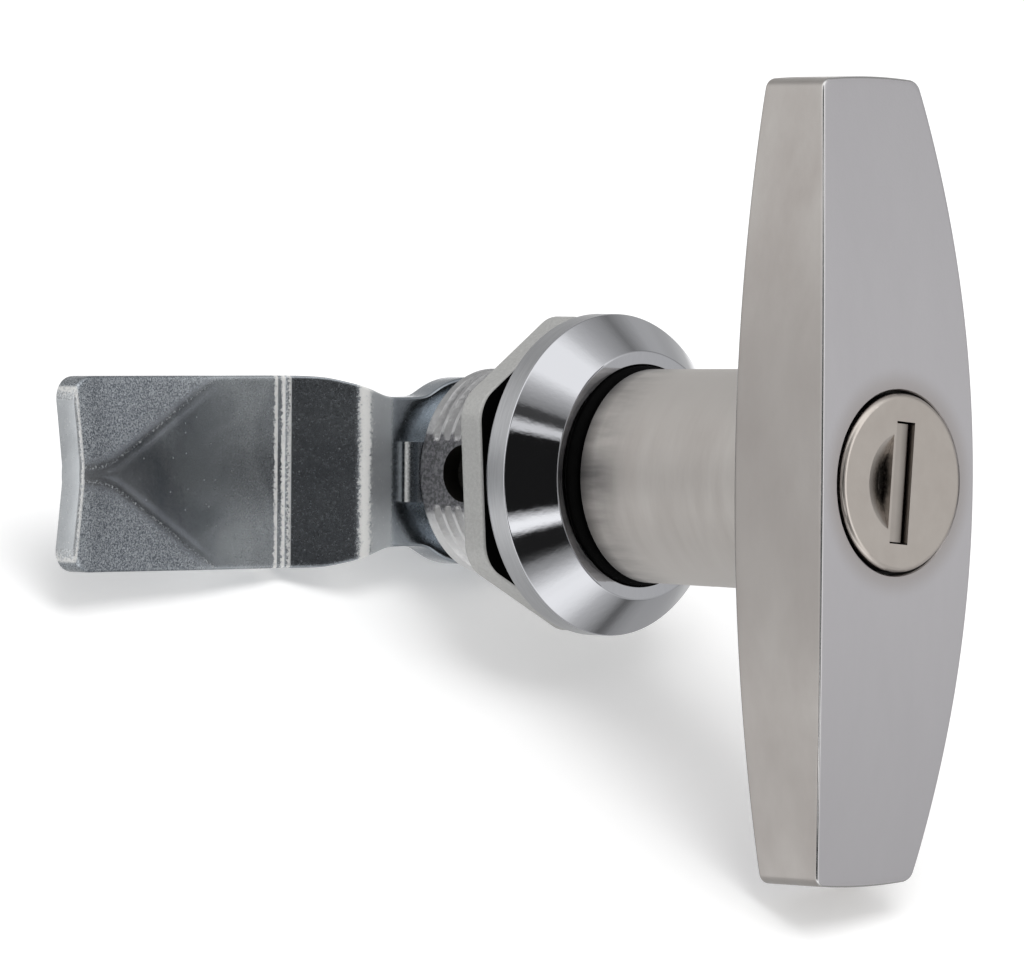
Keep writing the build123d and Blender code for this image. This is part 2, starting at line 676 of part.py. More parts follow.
os.makedirs("parts", exist_ok=True)
for piece in PIECES:
    save(piece.__name__, piece())
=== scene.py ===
# %% [markdown]
# # A locking T-handle, dressed around its CAD model
#
# The object is a quarter-turn latch for a cabinet door.  A T-shaped grip of satin-plated
# zinc stands in a chromed bezel, a threaded sleeve goes through the panel, and a bent
# steel cam closes behind the door frame.  The CAD model gives every size and every moving
# part.  This script gives the looks: fine shapes worked out as arrays, and one material
# for each real finish.
#
# Lengths below are written in millimetres, because that is how such a part is drawn, and
# are turned to metres in one place, where a mesh is made.

# %% Load the frame
import json

import bmesh
import bpy
import numpy as np
from mathutils import Matrix, Vector


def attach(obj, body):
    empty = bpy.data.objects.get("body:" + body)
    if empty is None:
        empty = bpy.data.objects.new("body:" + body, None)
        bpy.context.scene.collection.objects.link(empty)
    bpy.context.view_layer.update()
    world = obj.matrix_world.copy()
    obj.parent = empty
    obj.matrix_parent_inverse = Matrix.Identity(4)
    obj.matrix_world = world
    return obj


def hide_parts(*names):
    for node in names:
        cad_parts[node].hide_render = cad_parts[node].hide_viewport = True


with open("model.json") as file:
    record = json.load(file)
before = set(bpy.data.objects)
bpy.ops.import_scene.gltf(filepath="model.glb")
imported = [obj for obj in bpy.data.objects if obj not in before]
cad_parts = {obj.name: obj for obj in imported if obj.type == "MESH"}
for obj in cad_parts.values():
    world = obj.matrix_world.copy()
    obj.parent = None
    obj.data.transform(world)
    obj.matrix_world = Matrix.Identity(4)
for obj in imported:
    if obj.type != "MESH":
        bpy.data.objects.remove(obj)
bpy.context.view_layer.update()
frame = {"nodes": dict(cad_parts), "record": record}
print("CAD nodes:", len(frame["nodes"]))


def add_object(name, data):
    """New object of the scene, such as a camera, a lamp or a piece."""
    added = bpy.data.objects.new(name, data)
    bpy.context.scene.collection.objects.link(added)
    return added


# %% [markdown]
# ## Camera
#
# The photograph was taken from far away with a long lens, a little above the handle's
# axis, and the camera was rolled by half a degree.  A camera can be placed by eye, or
# from its angles.  Here the three angles and the distance are known, so the camera's own
# axes are worked out from them and written into its matrix.  The lens gives 9.45 pixels
# per millimetre on a picture 1024 pixels wide, and the shift moves the picture without
# changing the perspective.

# %% Camera
PICTURE_WIDTH, PICTURE_HEIGHT = 1024, 966
AZIMUTH, ELEVATION, ROLL = np.radians([-47.32, 1.27, 0.45])
DISTANCE = 1.0
PIXELS_PER_MM = 9.451
AXIS_PIXEL = (596.2, 474.4)          # where the origin falls in the picture
SENSOR = 36.0

back = np.array([np.sin(AZIMUTH) * np.cos(ELEVATION), -np.cos(AZIMUTH) * np.cos(ELEVATION),
                 np.sin(ELEVATION)])
level_right = np.array([np.cos(AZIMUTH), np.sin(AZIMUTH), 0.0])
level_up = np.cross(back, level_right)
right = np.cos(ROLL) * level_right + np.sin(ROLL) * level_up
up = np.cos(ROLL) * level_up - np.sin(ROLL) * level_right

camera = add_object("camera", bpy.data.cameras.new("camera"))
axes = Matrix(np.column_stack([right, up, back])).to_4x4()
camera.matrix_world = Matrix.Translation(Vector(back * DISTANCE)) @ axes
camera.data.sensor_width = SENSOR
camera.data.lens = PIXELS_PER_MM * 1000 * DISTANCE * SENSOR / PICTURE_WIDTH
camera.data.shift_x = (PICTURE_WIDTH / 2 - AXIS_PIXEL[0]) / PICTURE_WIDTH
camera.data.shift_y = (AXIS_PIXEL[1] - PICTURE_HEIGHT / 2) / PICTURE_WIDTH
camera.data.clip_start, camera.data.clip_end = 0.01, 50
bpy.context.scene.camera = camera
bpy.context.scene.view_settings.view_transform = "Standard"
print("lens", round(camera.data.lens, 1), "mm")

# %% [markdown]
# ## Nodes and colours
#
# A material is a small graph.  The first class below wraps any graph: each method adds one
# kind of node and gives back what comes out of it, so that a material reads as a short
# calculation from its pattern to its shader.  Colours are written as the hex values that
# one would pick from a picture, and Blender wants them linear, so one function applies the
# sRGB curve.

# %% Helpers for graphs
BUMP_DISTANCE = 0.0001               # a tenth of a millimetre


def linear(hex_value):
    """sRGB hex to linear RGBA: each channel c becomes ((c + 0.055) / 1.055) to the power 2.4."""
    channels = np.array([int(hex_value[i:i + 2], 16) for i in (1, 3, 5)]) / 255
    low, high = channels / 12.92, ((channels + 0.055) / 1.055) ** 2.4
    return (*np.where(channels <= 0.04045, low, high), 1.0)


class Graph:
    """Node tree of a material or a world.  Each method adds a node and returns what comes out."""

    def __init__(self, owner):
        owner.use_nodes = True
        self.owner, self.tree = owner, owner.node_tree
        self.tree.nodes.clear()

    def node(self, kind, inputs=None, **settings):
        """Outputs of a new node: settings are its properties, inputs its values, colours or links."""
        node = self.tree.nodes.new("ShaderNode" + kind)
        for name, value in settings.items():
            setattr(node, name, value)
        for name, value in (inputs or {}).items():
            if isinstance(value, bpy.types.NodeSocket):
                self.tree.links.new(value, node.inputs[name])
            elif value is not None:
                node.inputs[name].default_value = linear(value) if isinstance(value, str) else value
        return node.outputs

    def math(self, operation, *values, clamp=False):
        """A calculation on one to three numbers."""
        return self.node("Math", dict(enumerate(values)), operation=operation, use_clamp=clamp)[0]

    def remap(self, value, low, high, start=0.0, end=1.0, smooth=False):
        """Start where the value is low, end where it is high, and straight or smooth in between."""
        limits = {"From Min": low, "From Max": high, "To Min": start, "To Max": end}
        return self.node("MapRange", {"Value": value, **limits},
                         interpolation_type="SMOOTHSTEP" if smooth else "LINEAR")[0]

    def blend(self, share, first, second):
        """Number at a share of the way from the first to the second."""
        return self.node("Mix", {0: share, 2: first, 3: second})[0]

    def mix(self, share, first, second):
        """Colour at a share of the way from the first to the second."""
        return self.node("Mix", {0: share, 6: first, 7: second}, data_type="RGBA")[2]

    def ramp(self, share, stops, low, high):
        """Grey level at a share of the way from low to high, straight between (value, level) stops."""
        level = self.node("ValToRGB", {"Fac": share})["Color"]
        elements = level.node.color_ramp.elements
        for _ in stops[2:]:
            elements.new(0.5)
        for element, (value, grey) in zip(elements, stops):
            element.position = (value - low) / (high - low)
            element.color = (grey, grey, grey, 1)
        return level


# %% [markdown]
# The second class is a graph for one finish.  It knows the place on the object, draws
# patterns over it, and holds what the shader needs until the material is finished.  Most
# patterns are Perlin noise, stretched where a tool has worked in one direction.

# %% Helper for finishes
class Finish(Graph):
    """Graph of one finish: its place in millimetres, and what its shader will be given."""

    def __init__(self, name, tint=None, rough=None, metallic=1.0):
        super().__init__(bpy.data.materials.new(name))
        place = self.node("TexCoord")["Object"]
        self.mm = self.node("Mapping", {"Vector": place, "Scale": (1000, 1000, 1000)})[0]
        self.tint, self.rough, self.normal, self.metallic = tint, rough, None, metallic

    def axes(self, turn=0.0):
        """X, Y and Z of the place, after a turn about the lock's axis."""
        place = self.mm
        if turn:
            place = self.node("Mapping", {"Vector": place, "Rotation": (0, turn, 0)})[0]
        return self.node("SeparateXYZ", {"Vector": place})

    def noise(self, scale, detail, rough=0.5, stretch=None, distortion=0.0):
        """Cloudy pattern between 0 and 1, stretched by three scales where they are given."""
        place = self.mm
        if stretch:
            place = self.node("Mapping", {"Vector": place, "Scale": stretch})[0]
        return self.node("TexNoise", {"Vector": place, "Scale": scale, "Detail": detail,
                                      "Roughness": rough, "Distortion": distortion})["Fac"]

    def bump(self, height, strength):
        """Normal that follows the height of a pattern."""
        return self.node("Bump", {"Height": height, "Strength": strength, "Distance": BUMP_DISTANCE})[0]

    def cover(self, share, colour):
        """Lay a further colour over the tint, where its share is above 0."""
        self.tint = self.mix(share, self.tint, colour)

    def finish(self, more=None):
        """Add the shader and the output, and return the material."""
        shader = self.node("BsdfPrincipled", {
            "Base Color": self.tint, "Metallic": self.metallic, "Roughness": self.rough,
            "Normal": self.normal, **(more or {})})[0]
        self.node("OutputMaterial", {"Surface": shader})
        print(self.owner.name, len(self.tree.nodes), "nodes")
        return self.owner


# %% [markdown]
# ## Studio
#
# Polished metal has no colour of its own: it shows the room.  The photograph's room is a
# white tent with a dark opening for the camera, and a dark gap around the lamps that stand
# beside it.  Card models of that room would get into other views, so the world draws it
# instead, for reflected rays alone, by the angle between a ray and the direction of the
# opening.  The handle lies on a white table, so a ray that goes down meets the table's
# brightness and a ray that goes up meets the tent's.  Rays of one slant in between meet a
# third card, the bright one that throws light under the bezel.  The camera sees plain
# white, and matt surfaces get an even light.

# %% World
TABLE_UP = Vector((-0.151, -0.529, 0.835)).normalized()
SKY_FOR_MATT = 0.6
TENT_ABOVE = [                       # degrees from the middle of the opening, and brightness
    (0, 0.015), (21, 0.015), (24.3, 0.98), (27, 0.98), (31, 0.07), (36, 0.08), (38.5, 0.32),
    (43, 0.48), (47, 0.62), (51, 0.83), (55, 1.16), (58, 1.35), (78, 1.35), (84, 1.1), (88, 0.84),
    (93, 0.69), (100, 0.54), (108, 0.42), (115, 0.26), (122, 0.4), (130, 0.55), (144, 0.56),
    (155, 0.56), (168, 1.3), (180, 1.3),
]
TABLE_BELOW = [
    (0, 0.015), (23, 0.015), (26.5, 1.5), (31, 1.5), (35.5, 0.02), (46, 0.02), (49.5, 0.08),
    (53, 0.33), (57.5, 0.5), (62, 0.78), (66, 1.05), (71, 1.38), (75, 1.38), (81, 0.72), (92, 0.53),
    (104, 0.56), (112, 0.56), (122, 0.52), (132, 0.52), (142, 0.5), (150, 0.5), (161, 0.6),
    (168, 1.15), (173, 1.5), (180, 1.5),
]
LOW_CARD = [
    (0, 0.6), (59, 0.6), (65, 1.04), (70, 1.29), (76, 1.4), (81, 1.38), (87, 1.24), (92, 1.01),
    (97, 0.72), (103, 0.56), (108, 0.42), (112, 0.28), (115, 0.17), (118, 0.2), (123, 0.36),
    (128, 0.42), (133, 0.46), (150, 0.46), (157, 0.49), (164, 0.6), (180, 0.6),
]
HORIZON_FROM, HORIZON_TO = 0.07, 0.19    # sines of the rise where the table turns into the tent
LOW_CARD_RISE = -0.62                    # the same sine for the middle line of the card
LOW_CARD_INNER, LOW_CARD_OUTER = 0.1, 0.14    # off that line, where the card fades and where it ends

world = bpy.data.worlds.new("white_tent")
bpy.context.scene.world = world
world.cycles.sampling_method = "NONE"
sky = Graph(world)
ray = sky.node("LightPath")
direction = sky.node("TexCoord")["Generated"]
cosine, rise = (sky.node("VectorMath", {0: direction, 1: tuple(axis)}, operation="DOT_PRODUCT")["Value"]
                for axis in (back, TABLE_UP))
half_turn = sky.math("DIVIDE", sky.math("ARCCOSINE", cosine), np.pi)
tent, table_top, card = (sky.ramp(half_turn, stops, 0, 180)
                         for stops in (TENT_ABOVE, TABLE_BELOW, LOW_CARD))
off_card = sky.math("ABSOLUTE", sky.math("SUBTRACT", rise, LOW_CARD_RISE))
below = sky.mix(sky.remap(off_card, LOW_CARD_OUTER, LOW_CARD_INNER), table_top, card)
room = sky.mix(sky.remap(rise, HORIZON_FROM, HORIZON_TO), below, tent)
reflected = sky.math("MAXIMUM", ray["Is Glossy Ray"], ray["Is Transmission Ray"])
lit = sky.blend(reflected, SKY_FOR_MATT, room)
seen = sky.blend(ray["Is Camera Ray"], lit, 1.0)
backdrop = sky.node("Background", {"Color": (1, 1, 1, 1), "Strength": seen})[0]
sky.node("OutputWorld", {"Surface": backdrop})
print("world nodes:", len(sky.tree.nodes))

# %% [markdown]
# ## Table
#
# In the photograph the handle lies on a table, on three points: the lower end of the bar,
# the cam's crank and the cam's hub.  Its soft shadow therefore hugs the underside and runs
# off to the left of the bar.  The plane through those three points is the table.  It is one
# big plane, matt and almost white, with a little light of its own that brings the unshaded
# part up to pure white.  Reflected rays pass through it, because the world already holds
# the table's brightness, and it is clear from underneath, so that it hides nothing.

# %% Table
TABLE_DEPTH = 0.01988                # from the origin down to the table, along its normal
TABLE_SIZE = 6.0
TABLE_GLOW = 0.27

across = Vector((1, 0, 0)).cross(TABLE_UP).normalized()
along = TABLE_UP.cross(across)
corners = [(along * x + across * y) * TABLE_SIZE - TABLE_UP * TABLE_DEPTH
           for x, y in ((-1, -1), (-1, 1), (1, 1), (1, -1))]
table_mesh = bpy.data.meshes.new("table")
table_mesh.from_pydata(corners, [], [(0, 1, 2, 3)])
table = add_object("table", table_mesh)
matt_board = Graph(bpy.data.materials.new("matt_white_board"))
board = matt_board.node("BsdfDiffuse", {"Color": "#F4F4F4"})[0]
glow = matt_board.node("Emission", {"Color": (1, 1, 1, 1), "Strength": TABLE_GLOW})[0]
lit_board = matt_board.node("AddShader", {0: board, 1: glow})[0]
clear = matt_board.node("BsdfTransparent")[0]
under = matt_board.node("NewGeometry")["Backfacing"]
passing = matt_board.math("MAXIMUM", matt_board.node("LightPath")["Is Glossy Ray"], under)
surface = matt_board.node("MixShader", {0: passing, 1: lit_board, 2: clear})[0]
matt_board.node("OutputMaterial", {"Surface": surface})
table_mesh.materials.append(matt_board.owner)
print("table faces up:", bool(table_mesh.polygons[0].normal.dot(TABLE_UP) > 0))

# %% [markdown]
# ## Lamp
#
# An area lamp near a small object makes a table that fades into grey.  A sun lamp lights
# everything alike, however far away, and its angle sets how soft the shadow is: at 38
# degrees it is as soft as a large white umbrella.  One hangs above the table.  The tent in
# the world already holds what the metal mirrors, so the lamp keeps out of reflections.

# %% Lamp
LAMP_SOFTNESS, LAMP_STRENGTH = 38.0, 1.2

lamp_data = bpy.data.lights.new("lamp_above", "SUN")
lamp_data.angle, lamp_data.energy = np.radians(LAMP_SOFTNESS), LAMP_STRENGTH
lamp = add_object("lamp_above", lamp_data)
lamp.location = TABLE_UP
lamp.rotation_euler = (-TABLE_UP).to_track_quat("-Z", "Y").to_euler()
lamp.visible_glossy = False
above_table = float(np.degrees(np.arcsin(TABLE_UP.dot(Vector(back)))))
print("camera stands", round(above_table), "degrees above the table")


# %% [markdown]
# ## Surfaces from arrays
#
# Nearly every piece of a latch is turned, threaded or folded, so each can be written as a
# function of two numbers, such as an angle and a height.  numpy works the whole grid out
# at once.  The helpers below number the corners of such a grid, and turn points and faces
# into a piece: they merge the seam, point the faces outwards, shade the surface smooth and
# keep the real edges sharp.

# %% Helpers for shapes
MM = 0.001
MERGED_WITHIN = 5e-7                 # metres between two points that are one
HOLD = 0.3                           # of a corner's radius, from its arc to the next point


def grid_faces(rows, columns, wrap_rows=False, wrap_columns=False):
    """Four corner numbers for each cell of a grid whose points are numbered row by row."""
    cells = np.arange(rows - (not wrap_rows)), np.arange(columns - (not wrap_columns))
    row, column = np.meshgrid(*cells, indexing="ij")
    next_row, next_column = (row + 1) % rows, (column + 1) % columns
    corners = [row * columns + column, row * columns + next_column,
               next_row * columns + next_column, next_row * columns + column]
    return np.stack(corners, -1).reshape(-1, 4)


def stacked(rings):
    """Closed surface of rings, each an outline and its depth, which may differ from point to point."""
    points = [np.column_stack([plan, np.broadcast_to(depth, len(plan))]) for plan, depth in rings]
    return np.concatenate(points), grid_faces(len(rings), len(points[0]), True, True)


def on_axis(radius, angle, depth):
    """Points (x, y, depth) from a radius, an angle and a depth about the lock's axis."""
    return np.stack([radius * np.cos(angle), radius * np.sin(angle), depth], -1)


def joined(parts):
    """Points and faces of several (points, faces) pairs as one pair, the faces renumbered."""
    counts = np.cumsum([0] + [len(points) for points, _ in parts])
    return (np.concatenate([points for points, _ in parts]),
            np.concatenate([faces + start for (_, faces), start in zip(parts, counts)]))


def from_lock(points):
    """Drawing axes to row axes: the drawing's depth z towards the hand is -Y, and its y is Z."""
    return np.stack([points[..., 0], -points[..., 2], points[..., 1]], -1) * MM


def make_piece(name, points, faces, body, material, slot, sharp=30.0):
    """Closed mesh object from points in drawing millimetres, smooth but for its sharp edges."""
    mesh = bpy.data.meshes.new(name)
    mesh.from_pydata(from_lock(points.reshape(-1, 3)).tolist(), [], faces.tolist())
    tidy = bmesh.new()
    tidy.from_mesh(mesh)
    bmesh.ops.remove_doubles(tidy, verts=tidy.verts, dist=MERGED_WITHIN)
    bmesh.ops.recalc_face_normals(tidy, faces=tidy.faces)
    tidy.to_mesh(mesh)
    open_edges = sum(edge.is_boundary for edge in tidy.edges)
    tidy.free()
    mesh.polygons.foreach_set("use_smooth", np.ones(len(mesh.polygons), bool))
    mesh.set_sharp_from_angle(angle=np.radians(sharp))
    mesh.materials.append(material)
    piece = add_object(name, mesh)
    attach(piece, body)
    print(name, len(mesh.polygons), "faces,", open_edges, "open edges")
    return piece


def rounded(corners, steps=5):
    """Closed outline whose corners (x, y, radius) become arcs.

    The arc's centre lies on the corner's bisector, radius / sin(half angle) away, and the arc
    turns from the one side's touching point to the other's.  A point just before and after
    each arc keeps the shading of the flat sides flat.
    """
    outline = []
    for i, (x, y, radius) in enumerate(corners):
        here = np.array([x, y], float)
        if radius == 0:
            outline.append(here[None])
            continue
        to_last = np.array(corners[i - 1][:2]) - here
        to_next = np.array(corners[(i + 1) % len(corners)][:2]) - here
        last, after = to_last / np.linalg.norm(to_last), to_next / np.linalg.norm(to_next)
        half = np.arccos(np.clip(last @ after, -1, 1)) / 2
        reach = radius / np.tan(half)
        bisector = (last + after) / np.linalg.norm(last + after)
        centre = here + bisector * radius / np.sin(half)
        first, final = here + last * reach - centre, here + after * reach - centre
        turn = np.pi - 2 * half
        t = np.linspace(0, 1, steps)[:, None]
        arc = centre + (np.sin((1 - t) * turn) * first + np.sin(t * turn) * final) / np.sin(turn)
        hold = HOLD * radius
        outline += [arc[:1] + last * hold, arc, arc[-1:] + after * hold]
    return np.concatenate(outline)


def lathe(outline, segments=160):
    """Closed outline of (radius, depth) turned about the lock's axis."""
    theta = np.linspace(0, 2 * np.pi, segments, endpoint=False)
    points = on_axis(outline[:, :1], theta, outline[:, 1:] + 0 * theta)
    return points.reshape(-1, 3), grid_faces(len(outline), segments, True, True)


# %% [markdown]
# ## Chrome of the bezel
#
# The bezel is die-cast zinc, polished and then plated with copper, nickel and chrome.
# Chrome plate is almost a mirror, slightly blue, with a roughness near 0.05.  What tells
# it from a perfect mirror are hair-fine marks that the polishing wheel left, so a very weak
# bump, stretched along the axis, breaks the reflections up a little.  The rim below the
# cone was only turned, so it is as dull as satin.

# %% Chrome
coat = Finish("chrome_plate_polished", "#C3C4C8")
coat.rough = coat.remap(coat.noise(0.35, 4, 0.6), 0.35, 0.7, 0.03, 0.08)
coat.normal = coat.bump(coat.noise(1, 3, stretch=(1.6, 0.3, 1.6)), 0.05)
chrome = coat.finish()

coat = Finish("chrome_plate_turned", rough=0.38)
lines = coat.noise(1, 4, stretch=(0.3, 5, 0.3))
coat.tint = coat.mix(lines, "#AEAFB2", "#CFD0D2")
coat.normal = coat.bump(lines, 0.1)
turned_rim = coat.finish()

# %% [markdown]
# ## Satin chrome of the grip
#
# The grip has the same plating over a blasted surface, so it spreads reflections softly.
# Its roughness is about 0.35.  A fine grain of a few hundredths of a millimetre is drawn
# coarser, at 0.3 mm, because nothing finer shows at this distance.  Broad faint clouds,
# stretched along the bar, keep it from looking sprayed, and a faint brown ring of polish
# is left round the mouth of the lock.  The sides are a little warmer and blotchier, and
# darker towards their middle, and painted shade darkens the lower end, which rests on the
# table.  The bar's edges were rounded and brightened on a wheel.

# %% Satin chrome of the bar
GRAIN_SCALE, GRAIN_STRENGTH = 3.3, 0.08
RESIDUE_INNER, RESIDUE_OUTER = 9.5, 12.2    # distances from the lock's axis
MID_DARK_TO, MID_DARK_GONE_AT = 8.0, 32.0      # distances along the bar from its middle
LOWER_FROM, LOWER_TO = -12.0, -34.0         # heights over which painted shade darkens the lower end


def satin_finish(name, stretch, light, dark, rough_from=0.4, rough_to=0.35):
    """Satin plating with clouds stretched by three scales, from a dark tint to a light one."""
    coat = Finish(name)
    clouds = coat.noise(1, 5, 0.6, stretch)
    coat.tint = coat.mix(coat.remap(clouds, 0.3, 0.7), dark, light)
    coat.rough = coat.remap(clouds, 0.3, 0.7, rough_from, rough_to)
    return coat


coat = satin_finish("satin_chrome_plate", (0.12, 0.12, 0.05), "#CAC8CB", "#C5C3C6")
coat.normal = coat.bump(coat.noise(GRAIN_SCALE, 3), GRAIN_STRENGTH)
on_face = coat.node("Mapping", {"Vector": coat.mm, "Scale": (1, 0, 1)})[0]
from_axis = coat.node("VectorMath", {0: on_face}, operation="LENGTH")["Value"]
coat.cover(coat.remap(from_axis, RESIDUE_INNER, RESIDUE_OUTER, 0.34, 0, smooth=True), "#8F8274")
satin = coat.finish()

coat = satin_finish("satin_chrome_handled", (0.16, 0.16, 0.08), "#CAC6C2", "#BBB5B1")
coat.normal = coat.bump(coat.noise(GRAIN_SCALE, 3), GRAIN_STRENGTH)
height = coat.axes()["Z"]
from_middle = coat.math("ABSOLUTE", height)
# Darker towards the middle of the sides, and painted shade at the lower end, which rests on the table.
darker_mid = coat.remap(from_middle, MID_DARK_TO, MID_DARK_GONE_AT, 0.55, 0, smooth=True)
lower_end_shade = coat.remap(height, LOWER_FROM, LOWER_TO, 0, 0.37, smooth=True)
coat.cover(coat.math("MAXIMUM", darker_mid, lower_end_shade), "#A5A09D")
side_satin = coat.finish()

coat = Finish("satin_chrome_edge_polished", "#CFCECE")
coat.rough = coat.remap(coat.noise(1.2, 4), 0.35, 0.65, 0.08, 0.18)
polished_edge = coat.finish()

# %% [markdown]
# ## Turned satin of the stem
#
# The stem was turned on a lathe before it was plated, and the plating does not hide the
# fine marks that run round it.  They are 0.05 mm apart on the real one and drawn 0.25 mm
# apart here, so that they show.  Painted light makes its top and bottom a little lighter
# than the middle of its sides.  On the few millimetres next to the bezel's mouth lies a
# painted dark reflection in blotches, strongest along the middle of the sides, and on the
# last 3 mm a painted reflection of the black wiper.

# %% Satin chrome of the stem
DARK_REFLECTION_START, DARK_REFLECTION_END = -9.0, -16.0    # depths, on the row's Y
WIPER_FACE, WIPER_REFLECTION_END = -7.0, -10.0
DARK_REFLECTION_HALF_WIDTH = 4.5                          # half the width of the darkest band of painted reflection
LIGHTER_FROM, LIGHTER_FULL = 4.0, 11.0          # distances from the middle plane

coat = satin_finish("satin_chrome_turned", (0.1, 0.5, 0.1), "#C9C5C1", "#C1BCB8", 0.56, 0.5)
coat.normal = coat.bump(coat.noise(1, 4, stretch=(0.12, 4, 0.12)), 0.05)
place = coat.axes()
aside = coat.math("ABSOLUTE", place["Z"])
# Painted light on the top and bottom of the stem.
coat.cover(coat.remap(aside, LIGHTER_FROM, LIGHTER_FULL, smooth=True), "#DFDBD7")
# Painted dark reflection, in blotches, on the few millimetres next to the bezel's mouth.
near_foot = coat.remap(place["Y"], DARK_REFLECTION_END, DARK_REFLECTION_START, smooth=True)
reflection_band = coat.remap(aside, 0, DARK_REFLECTION_HALF_WIDTH, 0.6, 0.15, smooth=True)
blotch = coat.math("MULTIPLY_ADD", coat.noise(1, 4, stretch=(0.8, 0.15, 0.8)), 0.8, -0.35)
dark_reflection = coat.math("ADD", reflection_band, blotch)
coat.cover(coat.math("MULTIPLY", near_foot, dark_reflection, clamp=True), "#4A4A4C")
# Painted reflection of the black wiper on the last 3 mm.
coat.cover(coat.remap(place["Y"], WIPER_REFLECTION_END, WIPER_FACE, 0, 0.95), "#1C1C1E")
turned_satin = coat.finish()

# %% [markdown]
# ## Warm nickel of the lock's face
#
# The lock cylinder comes from another maker's line and is plated in satin nickel, which is
# slightly yellow beside chrome.  Painted shade darkens the walls of the slot and the deep
# bottom of the dish beside it, so one mask takes what lies deep and another what lies
# within the slot, which is tilted by 5 degrees.  On the shutter in the slot, painted shade
# grows towards the edge that swings inwards.

# %% Satin nickel
PAINTED_SHADE = "#1E1B19"
FACE_DEPTH = -42.8
WALL_UNSHADED, WALL_SHADED = FACE_DEPTH + 0.05, FACE_DEPTH + 0.3
DISH_UNSHADED, DISH_SHADED = FACE_DEPTH + 1.1, FACE_DEPTH + 1.75
SLOT_TILT, SLOT_REACH = np.radians(5.0), 1.48
SHUTTER_UNSHADED_TO, SHUTTER_SHADED_FROM = -0.2, 1.35        # across the shutter in the slot


def nickel_finish(name):
    """Satin nickel with faint clouds and a fine grain, and the place on the slot's own axes."""
    coat = Finish(name, rough=0.28)
    coat.tint = coat.mix(coat.noise(0.5, 4), "#C1B9B2", "#CFC8C1")
    coat.normal = coat.bump(coat.noise(5, 2), 0.06)
    return coat, coat.axes(-SLOT_TILT)


coat, place = nickel_finish("satin_nickel_wiped")
# Painted shade across the shutter, growing towards the edge that swings inwards.
coat.cover(coat.remap(place["X"], SHUTTER_UNSHADED_TO, SHUTTER_SHADED_FROM, 0.1, 0.7), PAINTED_SHADE)
shutter_shaded_nickel = coat.finish()

coat, place = nickel_finish("satin_nickel_plate")
# Painted shade on the walls of the slot and in the deep part of the dish.
in_slot = coat.math("LESS_THAN", coat.math("ABSOLUTE", place["X"]), SLOT_REACH)
slot_shade = coat.math("MULTIPLY", coat.remap(place["Y"], WALL_UNSHADED, WALL_SHADED, 0, 0.45), in_slot)
uneven = coat.math("MULTIPLY_ADD", coat.noise(2.5, 5, 0.7), 1.4, place["Y"])
dish_shade = coat.remap(uneven, DISH_UNSHADED, DISH_SHADED, 0, 0.85)
coat.cover(coat.math("MAXIMUM", slot_shade, dish_shade), PAINTED_SHADE)
nickel = coat.finish()

# %% [markdown]
# ## Bare cast zinc
#
# Behind the bezel nothing is polished.  Zinc straight from the die is a pale grey with a
# fine grain of about 0.2 mm that catches the light.  The sleeve's two flats are painted
# darker, as a painted dark reflection over a coarse grain: they lie more than 10.2 mm to the
# side.  Painted shade darkens the thread on top, and painted light brightens its underside.
# The nut was tumbled with stones, which makes it matt and even.

# %% Cast zinc
DARK_FLAT_FROM, DARK_FLAT_TO = 10.05, 10.25    # distances to the side
SIDE_FROM, SIDE_TO = 3.0, 8.0            # heights over which the thread's shade changes

coat = Finish("cast_zinc_bare", rough=0.36, metallic=0.85)
coat.tint = coat.mix(coat.noise(0.9, 6, 0.65), "#9A9A9C", "#E8E8E8")
place = coat.axes()
# Painted shade on top of the thread, and painted light on its underside.
coat.cover(coat.remap(place["Z"], SIDE_FROM, SIDE_TO, 0, 0.3), "#7E7E80")
coat.cover(coat.remap(place["Z"], -SIDE_FROM, -SIDE_TO, 0, 0.75), "#FAFAFA")
grain = coat.noise(2.6, 3, 0.7)
# Painted dark reflection on the two flats, over a coarse grain.
on_flat = coat.remap(coat.math("ABSOLUTE", place["X"]), DARK_FLAT_FROM, DARK_FLAT_TO, 0, 0.75)
coat.cover(on_flat, coat.mix(coat.remap(grain, 0.42, 0.62), "#34333A", "#949399"))
coat.normal = coat.bump(grain, 0.9)
zinc = coat.finish()

coat = Finish("cast_zinc_tumbled", rough=0.5, metallic=0.4)
grain = coat.noise(3, 4, 0.7)
coat.tint = coat.mix(grain, "#A2A2A0", "#D2D2D0")
coat.normal = coat.bump(grain, 0.5)
tumbled_zinc = coat.finish()

# Near black, as painted shade, for pieces seen only in dark gaps and for the sleeve's bore.
coat = Finish("cast_zinc_greased", rough=0.5, metallic=0.6)
coat.tint = coat.mix(coat.noise(0.8, 3), "#141312", "#2A2825")
gap_shade_zinc = coat.finish()

# %% [markdown]
# ## Zinc plate on steel
#
# The cam is stamped steel with a bright zinc plate.  Such plate is bluish and nearly as
# bright as chrome, but never even: broad darker clouds come from the bath, crystals make a
# fine sparkle of about 0.2 mm, and handling leaves small bright specks.

# %% Zinc plate
CRYSTAL_HEIGHT = 0.16
HIGHLIGHT_WHITE = "#F4F4F2"


